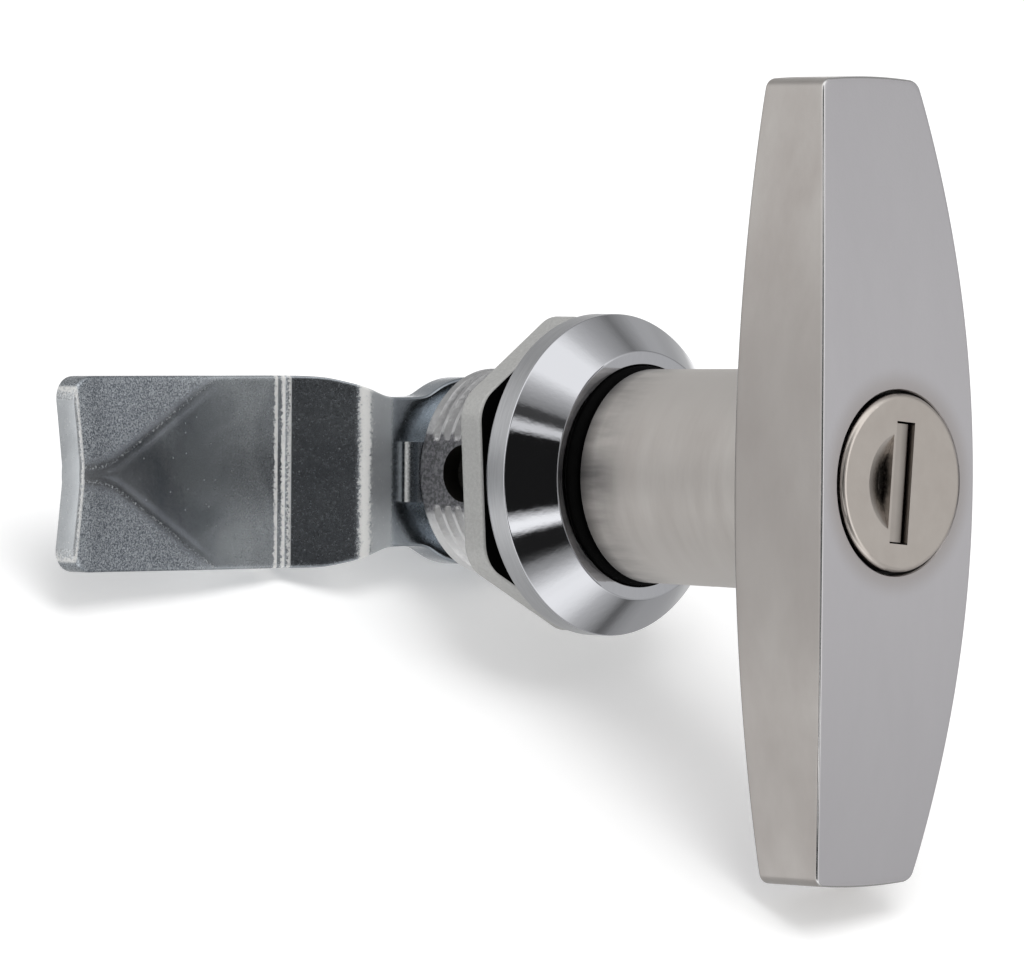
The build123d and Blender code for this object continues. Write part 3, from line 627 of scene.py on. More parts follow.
def plate_finish(name, rough_from, rough_to):
    """Zinc plate between two roughnesses, and the pattern of its crystals."""
    coat = Finish(name)
    clouds = coat.noise(0.13, 4, 0.55, distortion=0.6)
    coat.tint = coat.mix(coat.remap(clouds, 0.35, 0.65), "#A5ACB3", "#C9D0D6")
    crystals = coat.noise(3.2, 4, 0.75)
    from_speck = coat.node("TexVoronoi", {"Vector": coat.mm, "Scale": 0.9})["Distance"]
    speck = coat.remap(from_speck, 0.04, 0.1, 0.7, 0)
    coat.cover(speck, "#E0E3E6")
    coat.rough = coat.blend(speck, coat.remap(crystals, 0.35, 0.7, rough_from, rough_to), 0.6)
    return coat, crystals


coat, crystals = plate_finish("zinc_plate_tumbled", 0.28, 0.42)
coat.normal = coat.bump(crystals, CRYSTAL_HEIGHT)
plate = coat.finish()

# %% [markdown]
# The press left its marks on the cam's plate.  The two dented corners are matt and grainy,
# and a painted highlight runs as a fine bright line along their folds.  The cam's mesh carries
# an attribute for that, the distance of each point from its fold.  At the two bends and at the
# tip's edge, painted highlights lie as a bright grain, and a ramp over x gives their places.
# The crystals of the plate break up the edges of such a patch.  A fainter painted sheen lies
# next to the bends and on the tip's end, and painted dark reflection and shade round the hub,
# on the slant between the bends and towards the tip.

# %% Zinc plate of the cam
CAM_FROM, CAM_TO = -52.0, -8.0           # x in millimetres, for the three ramps
HIGHLIGHT_STOPS = [                               # x, and how strong the painted highlight is
    (-52.0, 0.4), (-51.8, 0.4), (-51.6, 0.85), (-51.4, 0.8), (-51.2, 0.0), (-23.8, 0.0),
    (-23.4, 1.0), (-23.15, 1.0), (-22.92, 0.1), (-22.6, 0.3), (-22.35, 1.0), (-22.1, 0.9),
    (-21.98, 0.15), (-21.8, 0.6), (-21.55, 0.95), (-21.38, 0.0), (-16.65, 0.0), (-16.35, 0.75),
    (-16.05, 1.0), (-15.55, 1.0), (-15.1, 0.62), (-14.6, 0.42), (-12.6, 0.3), (-12.0, 0.0),
]
PAINTED_DARK_STOPS = [
    (-52.0, 0.1), (-49.0, 0.4), (-40.0, 0.32), (-30.0, 0.0), (-22.0, 0.0), (-21.2, 0.3),
    (-16.8, 0.3), (-16.0, 0.0), (-12.0, 0.0), (-11.2, 0.28), (-8.0, 0.28),
]
SHEEN_STOPS = [
    (-52.0, 0.33), (-51.8, 0.33), (-51.6, 0.0), (-36.0, 0.0), (-27.0, 0.15), (-23.6, 0.15),
    (-21.5, 0.09), (-16.5, 0.09), (-15.0, 0.34), (-12.2, 0.34), (-11.6, 0.0),
]
FOLD_HIGHLIGHT = [(-0.35, 0.0), (-0.1, 0.4), (0.06, 0.4), (0.35, 0.0)]    # distance beyond the fold
FOLD_REACH = 2.0
DENT_FULL = 1.2                          # beyond the fold, where the dent is as matt as it gets

coat, crystals = plate_finish("zinc_plate_pressed", 0.16, 0.28)
beyond = coat.node("Attribute", attribute_name="from_fold")["Fac"]
dented = coat.remap(beyond, 0, DENT_FULL, 0, 0.8)
pits = coat.remap(coat.noise(5.5, 3, 0.7), 0.4, 0.62)
coat.cover(dented, coat.mix(pits, "#636A71", "#E9EFF4"))
wavy = coat.math("ADD", coat.axes()["X"], coat.math("MULTIPLY_ADD", crystals, 0.5, -0.25))
share = coat.remap(wavy, CAM_FROM, CAM_TO)
# Ramps over x of the painted highlights, the fainter painted sheen, and the painted dark reflection and
# shade.
highlights, sheen, painted_dark = (coat.ramp(share, stops, CAM_FROM, CAM_TO) for stops in (HIGHLIGHT_STOPS, SHEEN_STOPS, PAINTED_DARK_STOPS))
near_fold = coat.remap(beyond, -FOLD_REACH, FOLD_REACH)
highlit = coat.math("MAXIMUM", highlights, coat.ramp(near_fold, FOLD_HIGHLIGHT, -FOLD_REACH, FOLD_REACH))
broken_up = coat.remap(coat.math("MULTIPLY_ADD", crystals, 1.8, highlit), 1.3, 1.75)
painted_light = coat.math("MAXIMUM", broken_up, sheen)
# Painted highlights and sheen at the folds, the bends and the tip.
coat.cover(painted_light, HIGHLIGHT_WHITE)
# Painted dark reflection and shade round the hub, on the slant and towards the tip.
coat.cover(painted_dark, "#1E2436")
coat.rough = coat.blend(painted_light, coat.blend(dented, coat.rough, 0.3), 0.5)
coat.metallic = coat.remap(painted_light, 0, 1, 1, 0.35)
worked = coat.math("MAXIMUM", dented, painted_light)
coat.normal = coat.bump(crystals, coat.remap(worked, 0, 1, CRYSTAL_HEIGHT, 0.5))
cam_plate = coat.finish()

# %% [markdown]
# The ear of the stop disc is painted darker as painted shade, and a painted highlight runs as a bright
# line down its face.

# %% Zinc plate of the stop disc
EAR_FROM, EAR_TO = 16.2, 18.5            # depths, on the row's Y
EAR_HIGHLIGHT = [(16.2, 0.1), (16.6, 0.0), (17.4, 0.1), (17.75, 0.7), (17.95, 1.0), (18.2, 1.0),
            (18.4, 0.1), (18.5, 0.0)]
EAR_BEYOND = -9.2                        # x of the ear, outside the disc itself

coat, crystals = plate_finish("zinc_plate_struck", 0.2, 0.34)
coat.normal = coat.bump(crystals, CRYSTAL_HEIGHT)
place = coat.axes()
share = coat.remap(place["Y"], EAR_FROM, EAR_TO)
on_ear = coat.math("LESS_THAN", place["X"], EAR_BEYOND)
line = coat.math("MULTIPLY", coat.ramp(share, EAR_HIGHLIGHT, EAR_FROM, EAR_TO), on_ear)
# Painted shade over the ear, and a painted highlight as a line down its face.
coat.cover(on_ear, "#7C8289")
coat.cover(line, HIGHLIGHT_WHITE)
coat.metallic = coat.remap(line, 0, 1, 1, 0.2)
ear_shaded_plate = coat.finish()

# %% [markdown]
# ## Steel, brass, rubber and nylon
#
# The pieces inside are seen only through gaps, but each still has its own finish: drawn
# steel with fine lines, machined brass with turning marks, nitrile rubber that is nearly
# black and matt, and natural nylon.

# %% Inner finishes
coat = Finish("spring_steel_drawn", "#77787A")
coat.rough = coat.remap(coat.noise(2, 4), 0, 1, 0.25, 0.45)
steel = coat.finish()

coat = Finish("brass_machined", rough=0.35)
coat.tint = coat.mix(coat.noise(1.5, 3), "#8A6F38", "#A88C50")
brass = coat.finish()

coat = Finish("nitrile_rubber_black", rough=0.7, metallic=0)
dust = coat.noise(1.2, 5)
coat.tint = coat.mix(dust, "#030303", "#090909")
coat.normal = coat.bump(dust, 0.2)
rubber = coat.finish({"Specular IOR Level": 0.05})

coat = Finish("nylon_natural", rough=0.45, metallic=0)
coat.tint = coat.mix(coat.noise(0.5, 3), "#D8D3C4", "#E6E2D6")
nylon = coat.finish()

# %% [markdown]
# Each node of the CAD takes the finish of its material slot, and four take one of their own:
# the shutter with painted shade towards its free edge, the stop disc with painted shade and a
# painted highlight on its ear, and two pieces of the lock in near-black painted shade.

# %% Finishes of the CAD nodes
FINISH_OF_SLOT = {
    "bezel_chrome": chrome, "satin_chrome": satin, "satin_nickel": nickel, "cast_zinc": zinc,
    "zinc_plate": plate, "spring_steel": steel, "brass": brass, "black_rubber": rubber, "nylon": nylon,
}
OWN_FINISH = {
    "key_shutter": shutter_shaded_nickel, "cylinder_shell": gap_shade_zinc, "lock_pin": gap_shade_zinc, "stop_disc": ear_shaded_plate,
}
for part in frame["record"]["subparts"]:
    node = frame["nodes"][part["node"]]
    node.data.materials.clear()
    node.data.materials.append(OWN_FINISH.get(part["node"], FINISH_OF_SLOT[part["material_slot"]]))
print("finishes:", sorted(FINISH_OF_SLOT))

# %% [markdown]
# ## The grip bar
#
# The T-bar is barrel-shaped seen from the front and gently crowned, with the lock's hole in
# the middle of its face.  A box with a hole cut out would need a boolean and leave ragged
# shading.  Instead the whole skin is one grid of rings: a ring starts as the circle of the
# hole, widens over the face until it is the outline of the bar, goes round the edge and
# down the side, and comes back over the rear face to the circle.

# %% Grip bar
BAR_HALF_LENGTH, BAR_HALF_WIDTH, BAR_END_HALF_WIDTH = 41.8, 11.9, 7.35
BAR_BACK, BAR_FRONT, BAR_END_FRONT = 30.2, 42.3, 38.0
BAR_EDGE, BAR_CORNER = 0.24, 1.35
SIDE_POINTS, CORNER_POINTS, END_POINTS = 90, 11, 14
END_BULGE, BULGE_BAND = 0.35, 3.0    # how far the ends bulge, and the length over which that fades
SIDE_BELOW, FACE_ABOVE = 0.3, 0.95   # share of its normal along the axis, for a side and for a face
HOLE_R, HOLE_CHAMFER = 9.55, 0.12


def arc_radius(half_chord, rise):
    """Radius of an arc: (half chord squared + rise squared) / twice the rise."""
    return (half_chord ** 2 + rise ** 2) / (2 * rise)


SIDE_R = arc_radius(BAR_HALF_LENGTH, BAR_HALF_WIDTH - BAR_END_HALF_WIDTH)
CROWN_R = arc_radius(BAR_HALF_LENGTH, BAR_FRONT - BAR_END_FRONT)


def crown(y):
    """Depth of the front face at a height: the top of a circle of the crown's radius."""
    return BAR_FRONT - CROWN_R + np.sqrt(CROWN_R ** 2 - y ** 2)


def bar_outline(inset):
    """Outline of the bar from the front, moved inwards by the inset.

    The side is an arc, the corner an arc that starts on the side's normal, and the end is straight
    at first.  One quarter is worked out and mirrored into the other three.  Then the ends bulge:
    each end point drops by the bulge times (x / end half width) squared.
    """
    last_y = (BAR_HALF_LENGTH - BAR_CORNER) / (1 - BAR_CORNER / SIDE_R)
    y = np.linspace(0, last_y, SIDE_POINTS)
    normal = np.stack([np.sqrt(1 - (y / SIDE_R) ** 2), y / SIDE_R], -1)
    side = np.stack([BAR_HALF_WIDTH - SIDE_R, 0.0]) + SIDE_R * normal
    centre = side[-1] - BAR_CORNER * normal[-1]
    first = np.arctan2(normal[-1, 1], normal[-1, 0])
    angle = np.linspace(first, np.pi / 2, CORNER_POINTS)[1:]
    corner = centre + (BAR_CORNER - inset) * np.stack([np.cos(angle), np.sin(angle)], -1)
    end_x = np.linspace(centre[0], 0, END_POINTS)[1:]
    end = np.stack([end_x, np.full_like(end_x, corner[-1, 1])], -1)
    quarter = np.concatenate([side - inset * normal, corner, end])
    near_end = np.clip((quarter[:, 1] - BAR_HALF_LENGTH + BULGE_BAND) / BULGE_BAND, 0, 1) ** 2
    quarter[:, 1] -= END_BULGE * (quarter[:, 0] / BAR_END_HALF_WIDTH) ** 2 * near_end
    mirror = np.array([-1, 1])
    half = np.concatenate([quarter, quarter[-2::-1] * mirror])
    return np.concatenate([half, half[-2:0:-1] * [1, -1]])


def grip_bar_surface():
    """Rings from the hole over the crowned face, round the edge, down the side and back."""
    inner, side = bar_outline(BAR_EDGE), bar_outline(0)
    angle = np.arctan2(inner[:, 1], inner[:, 0])
    circle = np.stack([np.cos(angle), np.sin(angle)], -1)
    around = np.radians(np.linspace(0, 90, 7))
    rim = circle * (HOLE_R + HOLE_CHAMFER)
    rings = [(circle * HOLE_R, depth) for depth in (BAR_BACK, BAR_BACK + 0.3, BAR_FRONT - 1.2)]
    for share in (0.0, 0.12, 0.88, 1.0):
        plan = circle * (HOLE_R + HOLE_CHAMFER * share)
        rings.append((plan, crown(rim[:, 1]) - HOLE_CHAMFER * (1 - share)))
    for share in (0.02, 0.08, 0.2, 0.35, 0.5, 0.65, 0.8, 0.92, 0.98):
        plan = rim * (1 - share) + inner * share
        rings.append((plan, crown(plan[:, 1])))
    for a in around:
        plan = bar_outline(BAR_EDGE * (1 - np.sin(a)))
        rings.append((plan, crown(plan[:, 1]) - BAR_EDGE * (1 - np.cos(a))))
    for share in (0.02, 0.2, 0.4, 0.6, 0.8, 0.98):
        edge_front = crown(side[:, 1]) - BAR_EDGE
        rings.append((side, edge_front * (1 - share) + (BAR_BACK + BAR_EDGE) * share))
    for a in around:
        plan = bar_outline(BAR_EDGE * (1 - np.cos(a)))
        rings.append((plan, BAR_BACK + BAR_EDGE * (1 - np.sin(a))))
    for share in (0.02, 0.1, 0.4, 0.7, 0.97):
        rings.append((inner * (1 - share) + circle * HOLE_R * share, BAR_BACK))
    return stacked(rings)


def paint_faces(piece, material, chosen):
    """Give a further material to those faces of a piece for which chosen is true."""
    piece.data.materials.append(material)
    index = np.zeros(len(piece.data.polygons), np.int32)
    piece.data.polygons.foreach_get("material_index", index)
    index[chosen] = len(piece.data.materials) - 1
    piece.data.polygons.foreach_set("material_index", index)
    print(piece.name, material.name, int(chosen.sum()), "faces")


def face_table(piece):
    """Middle of each face in millimetres, and its normal, on row axes."""
    middle = np.array([polygon.center[:] for polygon in piece.data.polygons]) / MM
    normal = np.array([polygon.normal[:] for polygon in piece.data.polygons])
    return middle, normal


grip_bar = make_piece("grip_bar", *grip_bar_surface(), "handle", satin, "satin_chrome")
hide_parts("handle")
middle, normal = face_table(grip_bar)
in_the_hole = np.hypot(middle[:, 0], middle[:, 2]) < HOLE_R + HOLE_CHAMFER
along_axis = abs(normal[:, 1])
on_edge = (along_axis > SIDE_BELOW) & (along_axis < FACE_ABOVE)
paint_faces(grip_bar, side_satin, (along_axis < SIDE_BELOW) & ~in_the_hole)
paint_faces(grip_bar, polished_edge, on_edge & ~in_the_hole)

# %% [markdown]
# ## Side holes in a turned wall
#
# The stem and the sleeve are turned walls with round holes in their sides.  A boolean could
# cut these, but it leaves long thin faces that shade badly.  A grid can hold the holes by
# itself: a window of cells is left out on both skins of the wall, and rings lead from the
# window's edge to the hole's circle, through the wall, and out to the other window.

# %% Helpers for a turned wall with side holes
PATCH_RINGS = 7
ANGLE_ROUNDS = 10                    # rounds in which a rim's angles settle


def evenly(low, high, step):
    """Depths from low to high, no more than a step apart."""
    return np.linspace(low, high, int(np.ceil(abs(high - low) / step)) + 1)


def window_loop(rows, columns):
    """Row and column numbers once round a window: along one row, down a column, and back."""
    (r0, r1), (c0, c1) = rows, columns
    down = np.linspace(r0, r1, abs(r1 - r0) + 1).astype(int)
    across = np.arange(c0, c1 + 1)
    row = np.concatenate([0 * across[:-1] + r0, down[:-1], 0 * across[1:] + r1, down[:0:-1]])
    column = np.concatenate([across[:-1], 0 * down[:-1] + c1, across[:0:-1], 0 * down[1:] + c0])
    return row, column


def outside_window(faces, width, rows, columns):
    """True for each cell of a grid, so many points wide, that lies outside a window."""
    row, column = faces[:, 0] // width, faces[:, 0] % width
    in_rows = (row >= min(rows)) & (row < max(rows))
    return ~(in_rows & (column >= columns[0]) & (column < columns[1]))


def straight(radius):
    """Skin of a straight bore: the same radius for each angle and depth."""
    return lambda angle, depth: radius + 0 * (angle + depth)


def hole_patch(hole, skins, edges):
    """Rings from one window's edge to the hole's circle, through the wall and to the other edge.

    A hole is (radius, angle, depth), and an edge is the radii, angles and depths round a window.
    On a skin the circle lies where radius * sin(angle from the hole) is the half-width.
    """
    hole_r, hole_angle, hole_depth = hole
    radius, angle, depth = edges[0]
    turn = np.arctan2(depth - hole_depth, radius * np.sin(angle - hole_angle))
    rim_depth = hole_depth + hole_r * np.sin(turn)
    rings = []
    for skin, (_, angle, depth), order in zip(skins, edges, (1, -1)):
        rim_angle = np.full_like(turn, hole_angle)
        for _ in range(ANGLE_ROUNDS):
            rim_angle = hole_angle + np.arcsin(hole_r * np.cos(turn) / skin(rim_angle, rim_depth))
        share = np.linspace(0, 1, PATCH_RINGS)[::order, None]
        patch_angle = angle * (1 - share) + rim_angle * share
        patch_depth = depth * (1 - share) + rim_depth * share
        rings.append(on_axis(skin(patch_angle, patch_depth), patch_angle, patch_depth))
    patch = np.concatenate(rings)
    return patch.reshape(-1, 3), grid_faces(*patch.shape[:2], False, True)


def wall_with_holes(theta, outer_depth, inner_theta, inner_depth, outer, inner, top, foot, holes):
    """Closed wall about the lock's axis, with round holes through it.

    Outer and inner give a skin's radius for an angle and a depth.  The rows of the outer skin, the
    (radius, depth) points of the top, the rows of the inner skin and the points of the foot follow
    each other round the wall's section.  Each of the holes comes with its outer rows, its inner
    rows and its columns.
    """
    def ring_rows(points):
        table = np.reshape(np.array(points, float), (-1, 2, 1)) + 0 * theta
        return table[:, 0], table[:, 1]

    outer_depth, inner_depth = outer_depth + 0 * theta, inner_depth + 0 * theta
    blocks = [(outer(theta, outer_depth), outer_depth), ring_rows(top),
              (inner(inner_theta, inner_depth), inner_depth), ring_rows(foot)]
    radius, depth = (np.concatenate([block[i] for block in blocks]) for i in (0, 1))
    angle = np.repeat(theta[None], len(radius), 0)
    inner_start = len(outer_depth) + len(top)
    angle[inner_start:inner_start + len(inner_depth)] = inner_theta
    faces = grid_faces(len(radius), len(theta), True, False)
    keep = np.ones(len(faces), bool)
    patches = []
    for hole, outer_rows, inner_rows, columns in holes:
        windows = outer_rows, [inner_start + row for row in inner_rows]
        loops = [window_loop(rows, columns) for rows in windows]
        edges = [(radius[loop], angle[loop], depth[loop]) for loop in loops]
        patches.append(hole_patch(hole, (outer, inner), edges))
        for rows in windows:
            keep &= outside_window(faces, len(theta), rows, columns)
    return joined([(on_axis(radius, angle, depth).reshape(-1, 3), faces[keep]), *patches])


# %% [markdown]
# ## The stem
#
# The stem widens slightly towards the bar and is chamfered at its foot.  A roll pin that
# keeps the lock cylinder in sits in a hole on its underside.

# %% Stem
STEM_FOOT_R, STEM_TOP_R, STEM_FOOT, STEM_TOP = 11.25, 11.6, 7.9, 30.7
FOOT_CHAMFER = 0.25
NECK_R, NECK_CUT = 9.6, 7.45
BORE_FLOOR, DRIVER_R = 12.5, 6.0
ROLL_PIN_R, ROLL_PIN_DEPTH = 1.27, 18.5
COLUMN_STEP = 1.5                    # degrees
UNDERSIDE = 270
PIN_HALF_COLUMNS, PIN_HALF_WINDOW = 6, 1.6
WINDOW_GAP = 0.5                     # millimetres from a window to the next row


def stem_outside(angle, depth):
    """Radius grows evenly from the foot to the bar."""
    share = (depth - STEM_FOOT) / (STEM_TOP - STEM_FOOT)
    return STEM_FOOT_R + (STEM_TOP_R - STEM_FOOT_R) * share + 0 * angle


def columns_at(degrees, half_columns):
    """First and last column of a window whose middle is at an angle."""
    column = int(degrees / COLUMN_STEP)
    return column - half_columns, column + half_columns


theta = np.radians(np.arange(0, 360 + COLUMN_STEP / 2, COLUMN_STEP))
pin_window = evenly(ROLL_PIN_DEPTH - PIN_HALF_WINDOW, ROLL_PIN_DEPTH + PIN_HALF_WINDOW, 0.4)
below_pin, above_pin = pin_window[0] - WINDOW_GAP, pin_window[-1] + WINDOW_GAP
stem_rows = np.concatenate([
    [STEM_FOOT + FOOT_CHAMFER, STEM_FOOT + FOOT_CHAMFER + 0.1], evenly(STEM_FOOT + 1, below_pin, 1.0),
    pin_window, evenly(above_pin, STEM_TOP, 1.0)])
bore_rows = np.concatenate([evenly(STEM_TOP, above_pin, 1.5), pin_window[::-1], [BORE_FLOOR + 0.1]])
stem_ends = [
    (HOLE_R, BORE_FLOOR), (DRIVER_R, BORE_FLOOR), (DRIVER_R, NECK_CUT), (NECK_R, NECK_CUT),
    (NECK_R, STEM_FOOT), (STEM_FOOT_R - FOOT_CHAMFER - 0.05, STEM_FOOT),
    (STEM_FOOT_R - FOOT_CHAMFER, STEM_FOOT)]
pin_cells = len(pin_window) - 1
outer_first, inner_last = int(np.searchsorted(stem_rows, pin_window[0])), len(bore_rows) - 2
roll_pin_hole = (
    (ROLL_PIN_R, np.radians(UNDERSIDE), ROLL_PIN_DEPTH), (outer_first, outer_first + pin_cells),
    (inner_last, inner_last - pin_cells), columns_at(UNDERSIDE, PIN_HALF_COLUMNS))
stem_surface = wall_with_holes(theta, stem_rows[:, None], theta, bore_rows[:, None], stem_outside,
                               straight(HOLE_R), [], stem_ends, [roll_pin_hole])
grip_stem = make_piece("grip_stem", *stem_surface, "handle", turned_satin, "satin_chrome")
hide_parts("handle")

# %% [markdown]
# ## The shaft
#
# Below the stem the casting goes on as a shaft with a drive square, hidden by the bezel.
# The CAD mesh is good enough there, so the piece is a merged copy of it, cut off at the
# neck.  The cut is closed with faces that leave the bore open.

# %% Shaft
shaft_mesh = frame["nodes"]["handle"].data.copy()
shaft_mesh.name = "drive_shaft"
cut = bmesh.new()
cut.from_mesh(shaft_mesh)
bmesh.ops.remove_doubles(cut, verts=cut.verts, dist=1e-6)
bmesh.ops.bisect_plane(cut, geom=cut.verts[:] + cut.edges[:] + cut.faces[:], dist=1e-7,
                       plane_co=(0, -NECK_CUT * MM, 0), plane_no=(0, -1, 0), clear_outer=True)
rim = [edge for edge in cut.edges if edge.is_boundary]
bmesh.ops.triangle_fill(cut, edges=rim, use_beauty=True)
bmesh.ops.recalc_face_normals(cut, faces=cut.faces)
open_edges = sum(edge.is_boundary for edge in cut.edges)
print("drive_shaft", len(cut.faces), "faces,", open_edges, "open edges")
cut.to_mesh(shaft_mesh)
cut.free()
shaft_mesh.set_sharp_from_angle(angle=np.radians(30))
shaft_mesh.materials.clear()
shaft_mesh.materials.append(gap_shade_zinc)
drive_shaft = add_object("drive_shaft", shaft_mesh)
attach(drive_shaft, "handle")
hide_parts("handle")

# %% [markdown]
# ## Housing: bezel and threaded sleeve
#
# The bezel and the sleeve are one casting.  The thread is M22 x 1.5, with two flats that
# keep the sleeve from turning in the panel and two holes that the locking pin can enter.
# Rows that climb one pitch in one turn follow the thread, so crest and root stay crisp with
# few faces, and the flats are simply the smaller of two radii.

# %% Outside of the sleeve
THREAD_R, THREAD_DEPTH, PITCH = 11.0, 0.66, 1.5
ROWS_PER_PITCH = 12
GROOVE_MIDDLE, GROOVE_SLOPE = 0.5, 0.8
FLAT_FADE, SEAT_FADE, RUN_OUT = (3.3, 3.9), (3.5, 4.3), 0.6    # lengths over which the thread fades
FAR = 99.0                           # off the seat
FLAT_HALF = 10.3
SLEEVE_TOP, THREAD_START, PLAIN_BAND, SLEEVE_END, SLEEVE_CHAMFER = 0.4, -3.4, -14.5, -16.2, 1.0
BORE_R = 8.05
SEAL_POCKET_R, SEAL_POCKET_FLOOR = 11.65, 4.2
LOCK_HOLE_R, LOCK_HOLE_DEPTH = 3.05, -9.5


def fade(value, start, end):
    """0 before start, 1 after end, and in between 3 t squared - 2 t cubed."""
    t = np.clip((value - start) / (end - start), 0, 1)
    return t * t * (3 - 2 * t)


def sleeve_outside(angle, depth):
    """The smallest of three radii: the thread, the two flats, and the chamfer at the end.

    The thread's groove is a cosine of depth / pitch - turns, cut off flat at root and crest.  It
    fades out on the flats, near the bezel and at the plain band, and is at full depth near the
    upper hole, which has a smooth seat.
    """
    wave = np.cos(2 * np.pi * (depth / PITCH - angle / (2 * np.pi)))
    groove = np.clip(GROOVE_MIDDLE - GROOVE_SLOPE * wave, 0, 1)
    groove = groove * fade(abs(THREAD_R * np.sin(angle)), *FLAT_FADE)
    from_hole = np.hypot(THREAD_R * np.cos(angle), depth - LOCK_HOLE_DEPTH)
    seat = np.where(np.sin(angle) > 0, from_hole, FAR)
    groove = np.maximum(groove, 1 - fade(seat, *SEAT_FADE))
    groove = groove * fade(depth, PLAIN_BAND, PLAIN_BAND + RUN_OUT)
    groove = groove * (1 - fade(depth, THREAD_START - RUN_OUT, THREAD_START))
    flat = FLAT_HALF / np.maximum(abs(np.cos(angle)), 0.5)
    chamfer = THREAD_R - SLEEVE_CHAMFER + (depth - SLEEVE_END)
    return np.minimum(np.minimum(THREAD_R - THREAD_DEPTH * groove, flat), chamfer)


# %% [markdown]
# The windows of the two holes follow the climbing rows outside.  Inside, where the bore is
# narrower, the columns next to a hole are spread, so that its window is as wide there.

# %% Rows and windows of the sleeve
HOLE_HALF_COLUMNS, HOLE_HALF_WINDOW = 13, 3.4
HOLE_WIDENING = 4.5                  # degrees by which the columns are spread
HOLE_SPREAD = np.radians(2 * HOLE_HALF_COLUMNS * COLUMN_STEP)

row_height = PITCH / ROWS_PER_PITCH
row_number = np.arange(-ROWS_PER_PITCH, int((SLEEVE_TOP - SLEEVE_END) / row_height) + 2)[:, None]
climbing = SLEEVE_END + row_number * row_height + PITCH * theta / (2 * np.pi)
sleeve_rows = np.clip(climbing, SLEEVE_END, SLEEVE_TOP)
window_rows = int(round(2 * HOLE_HALF_WINDOW / row_height))
window_foot = int(round((LOCK_HOLE_DEPTH - HOLE_HALF_WINDOW - SLEEVE_END) / row_height))
hole_window = LOCK_HOLE_DEPTH + np.linspace(HOLE_HALF_WINDOW, -HOLE_HALF_WINDOW, window_rows + 1)
inner_rows = np.concatenate([[SEAL_POCKET_FLOOR - 0.15], evenly(3, -5, 2.0), hole_window,
                             [PLAIN_BAND, SLEEVE_END + 0.1]])
inner_high = int(np.argmin(abs(inner_rows - hole_window[0])))
inner_theta = theta.copy()
housing_holes = []
for hole_degrees in (180, 90):
    offset = theta - np.radians(hole_degrees)
    spread = np.radians(HOLE_WIDENING) * np.sin(np.pi * offset / HOLE_SPREAD)
    inner_theta += np.where(abs(offset) < HOLE_SPREAD, spread, 0)
    row = ROWS_PER_PITCH + window_foot - int(round(ROWS_PER_PITCH * hole_degrees / 360))
    housing_holes.append((
        (LOCK_HOLE_R, np.radians(hole_degrees), LOCK_HOLE_DEPTH), (row, row + window_rows),
        (inner_high + window_rows, inner_high), columns_at(hole_degrees, HOLE_HALF_COLUMNS)))
print("sleeve rows:", len(sleeve_rows), "holes:", len(housing_holes))

# %% [markdown]
# The bezel is the top of the wall, and the sleeve's foot its bottom.  Only the cone and the
# mouth are polished: the rim is turned, the thread is bare zinc, and the bore is near-black
# painted shade.

# %% Bezel and sleeve
BEZEL_R, RIM_HEIGHT, BEZEL_TOP, MOUTH_R, RECESS_R = 17.0, 2.6, 6.6, 13.1, 15.0
SLEEVE_FOOT = [(BORE_R + 0.1, SLEEVE_END), (9.8, SLEEVE_END)]

bezel_profile = rounded([
    (THREAD_R, SLEEVE_TOP, 0), (RECESS_R, SLEEVE_TOP, 0.1), (RECESS_R, 0, 0.1), (BEZEL_R, 0, 0.2),
    (BEZEL_R, RIM_HEIGHT, 0.22), (MOUTH_R, BEZEL_TOP, 0.25), (SEAL_POCKET_R, BEZEL_TOP, 0.15),
    (SEAL_POCKET_R, SEAL_POCKET_FLOOR, 0.2), (BORE_R + 0.15, SEAL_POCKET_FLOOR, 0)])
housing_surface = wall_with_holes(theta, sleeve_rows, inner_theta, inner_rows[:, None], sleeve_outside,
                                  straight(BORE_R), bezel_profile, SLEEVE_FOOT, housing_holes)
bezel_and_sleeve = make_piece("bezel_and_sleeve", *housing_surface, "base", chrome,
                              "bezel_chrome", sharp=28)
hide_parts("housing")
middle, _ = face_table(bezel_and_sleeve)
from_axis, height = np.hypot(middle[:, 0], middle[:, 2]), -middle[:, 1]
on_rim = (from_axis > BEZEL_R - 0.1) & (height < RIM_HEIGHT - 0.1)
behind = (height < SLEEVE_TOP - 0.1) & (from_axis < RECESS_R + 0.1)
paint_faces(bezel_and_sleeve, turned_rim, on_rim)
paint_faces(bezel_and_sleeve, zinc, behind | (from_axis < SEAL_POCKET_R - 0.3))
# Near-black painted shade in the bore.
paint_faces(bezel_and_sleeve, gap_shade_zinc, from_axis < THREAD_R - THREAD_DEPTH - 0.4)

# %% [markdown]
# ## Nut and gasket
#
# The thin nut is stamped from bar with rounded corners, and its sharp edges are broken.  Its
# outline is a hexagon whose corners are arcs, and an inset of that outline has the same
# number of points, so rings of insets make the broken edges.  The gasket is a plain ring of
# rubber with soft corners.  The nut's face against it is painted in the black rubber, as
# painted shade in the narrow gap behind the bezel.

# %% Nut and gasket
NUT_APOTHEM, NUT_CORNER, NUT_EDGE, NUT_TURN = 15.0, 4.0, 0.35, 3.6
NUT_FRONT, NUT_BACK = -2.4, -5.4
NUT_BORE_R, NUT_COUNTERSINK = 11.05, 0.45
GASKET_R, GASKET_BACK = 14.8, 0.39


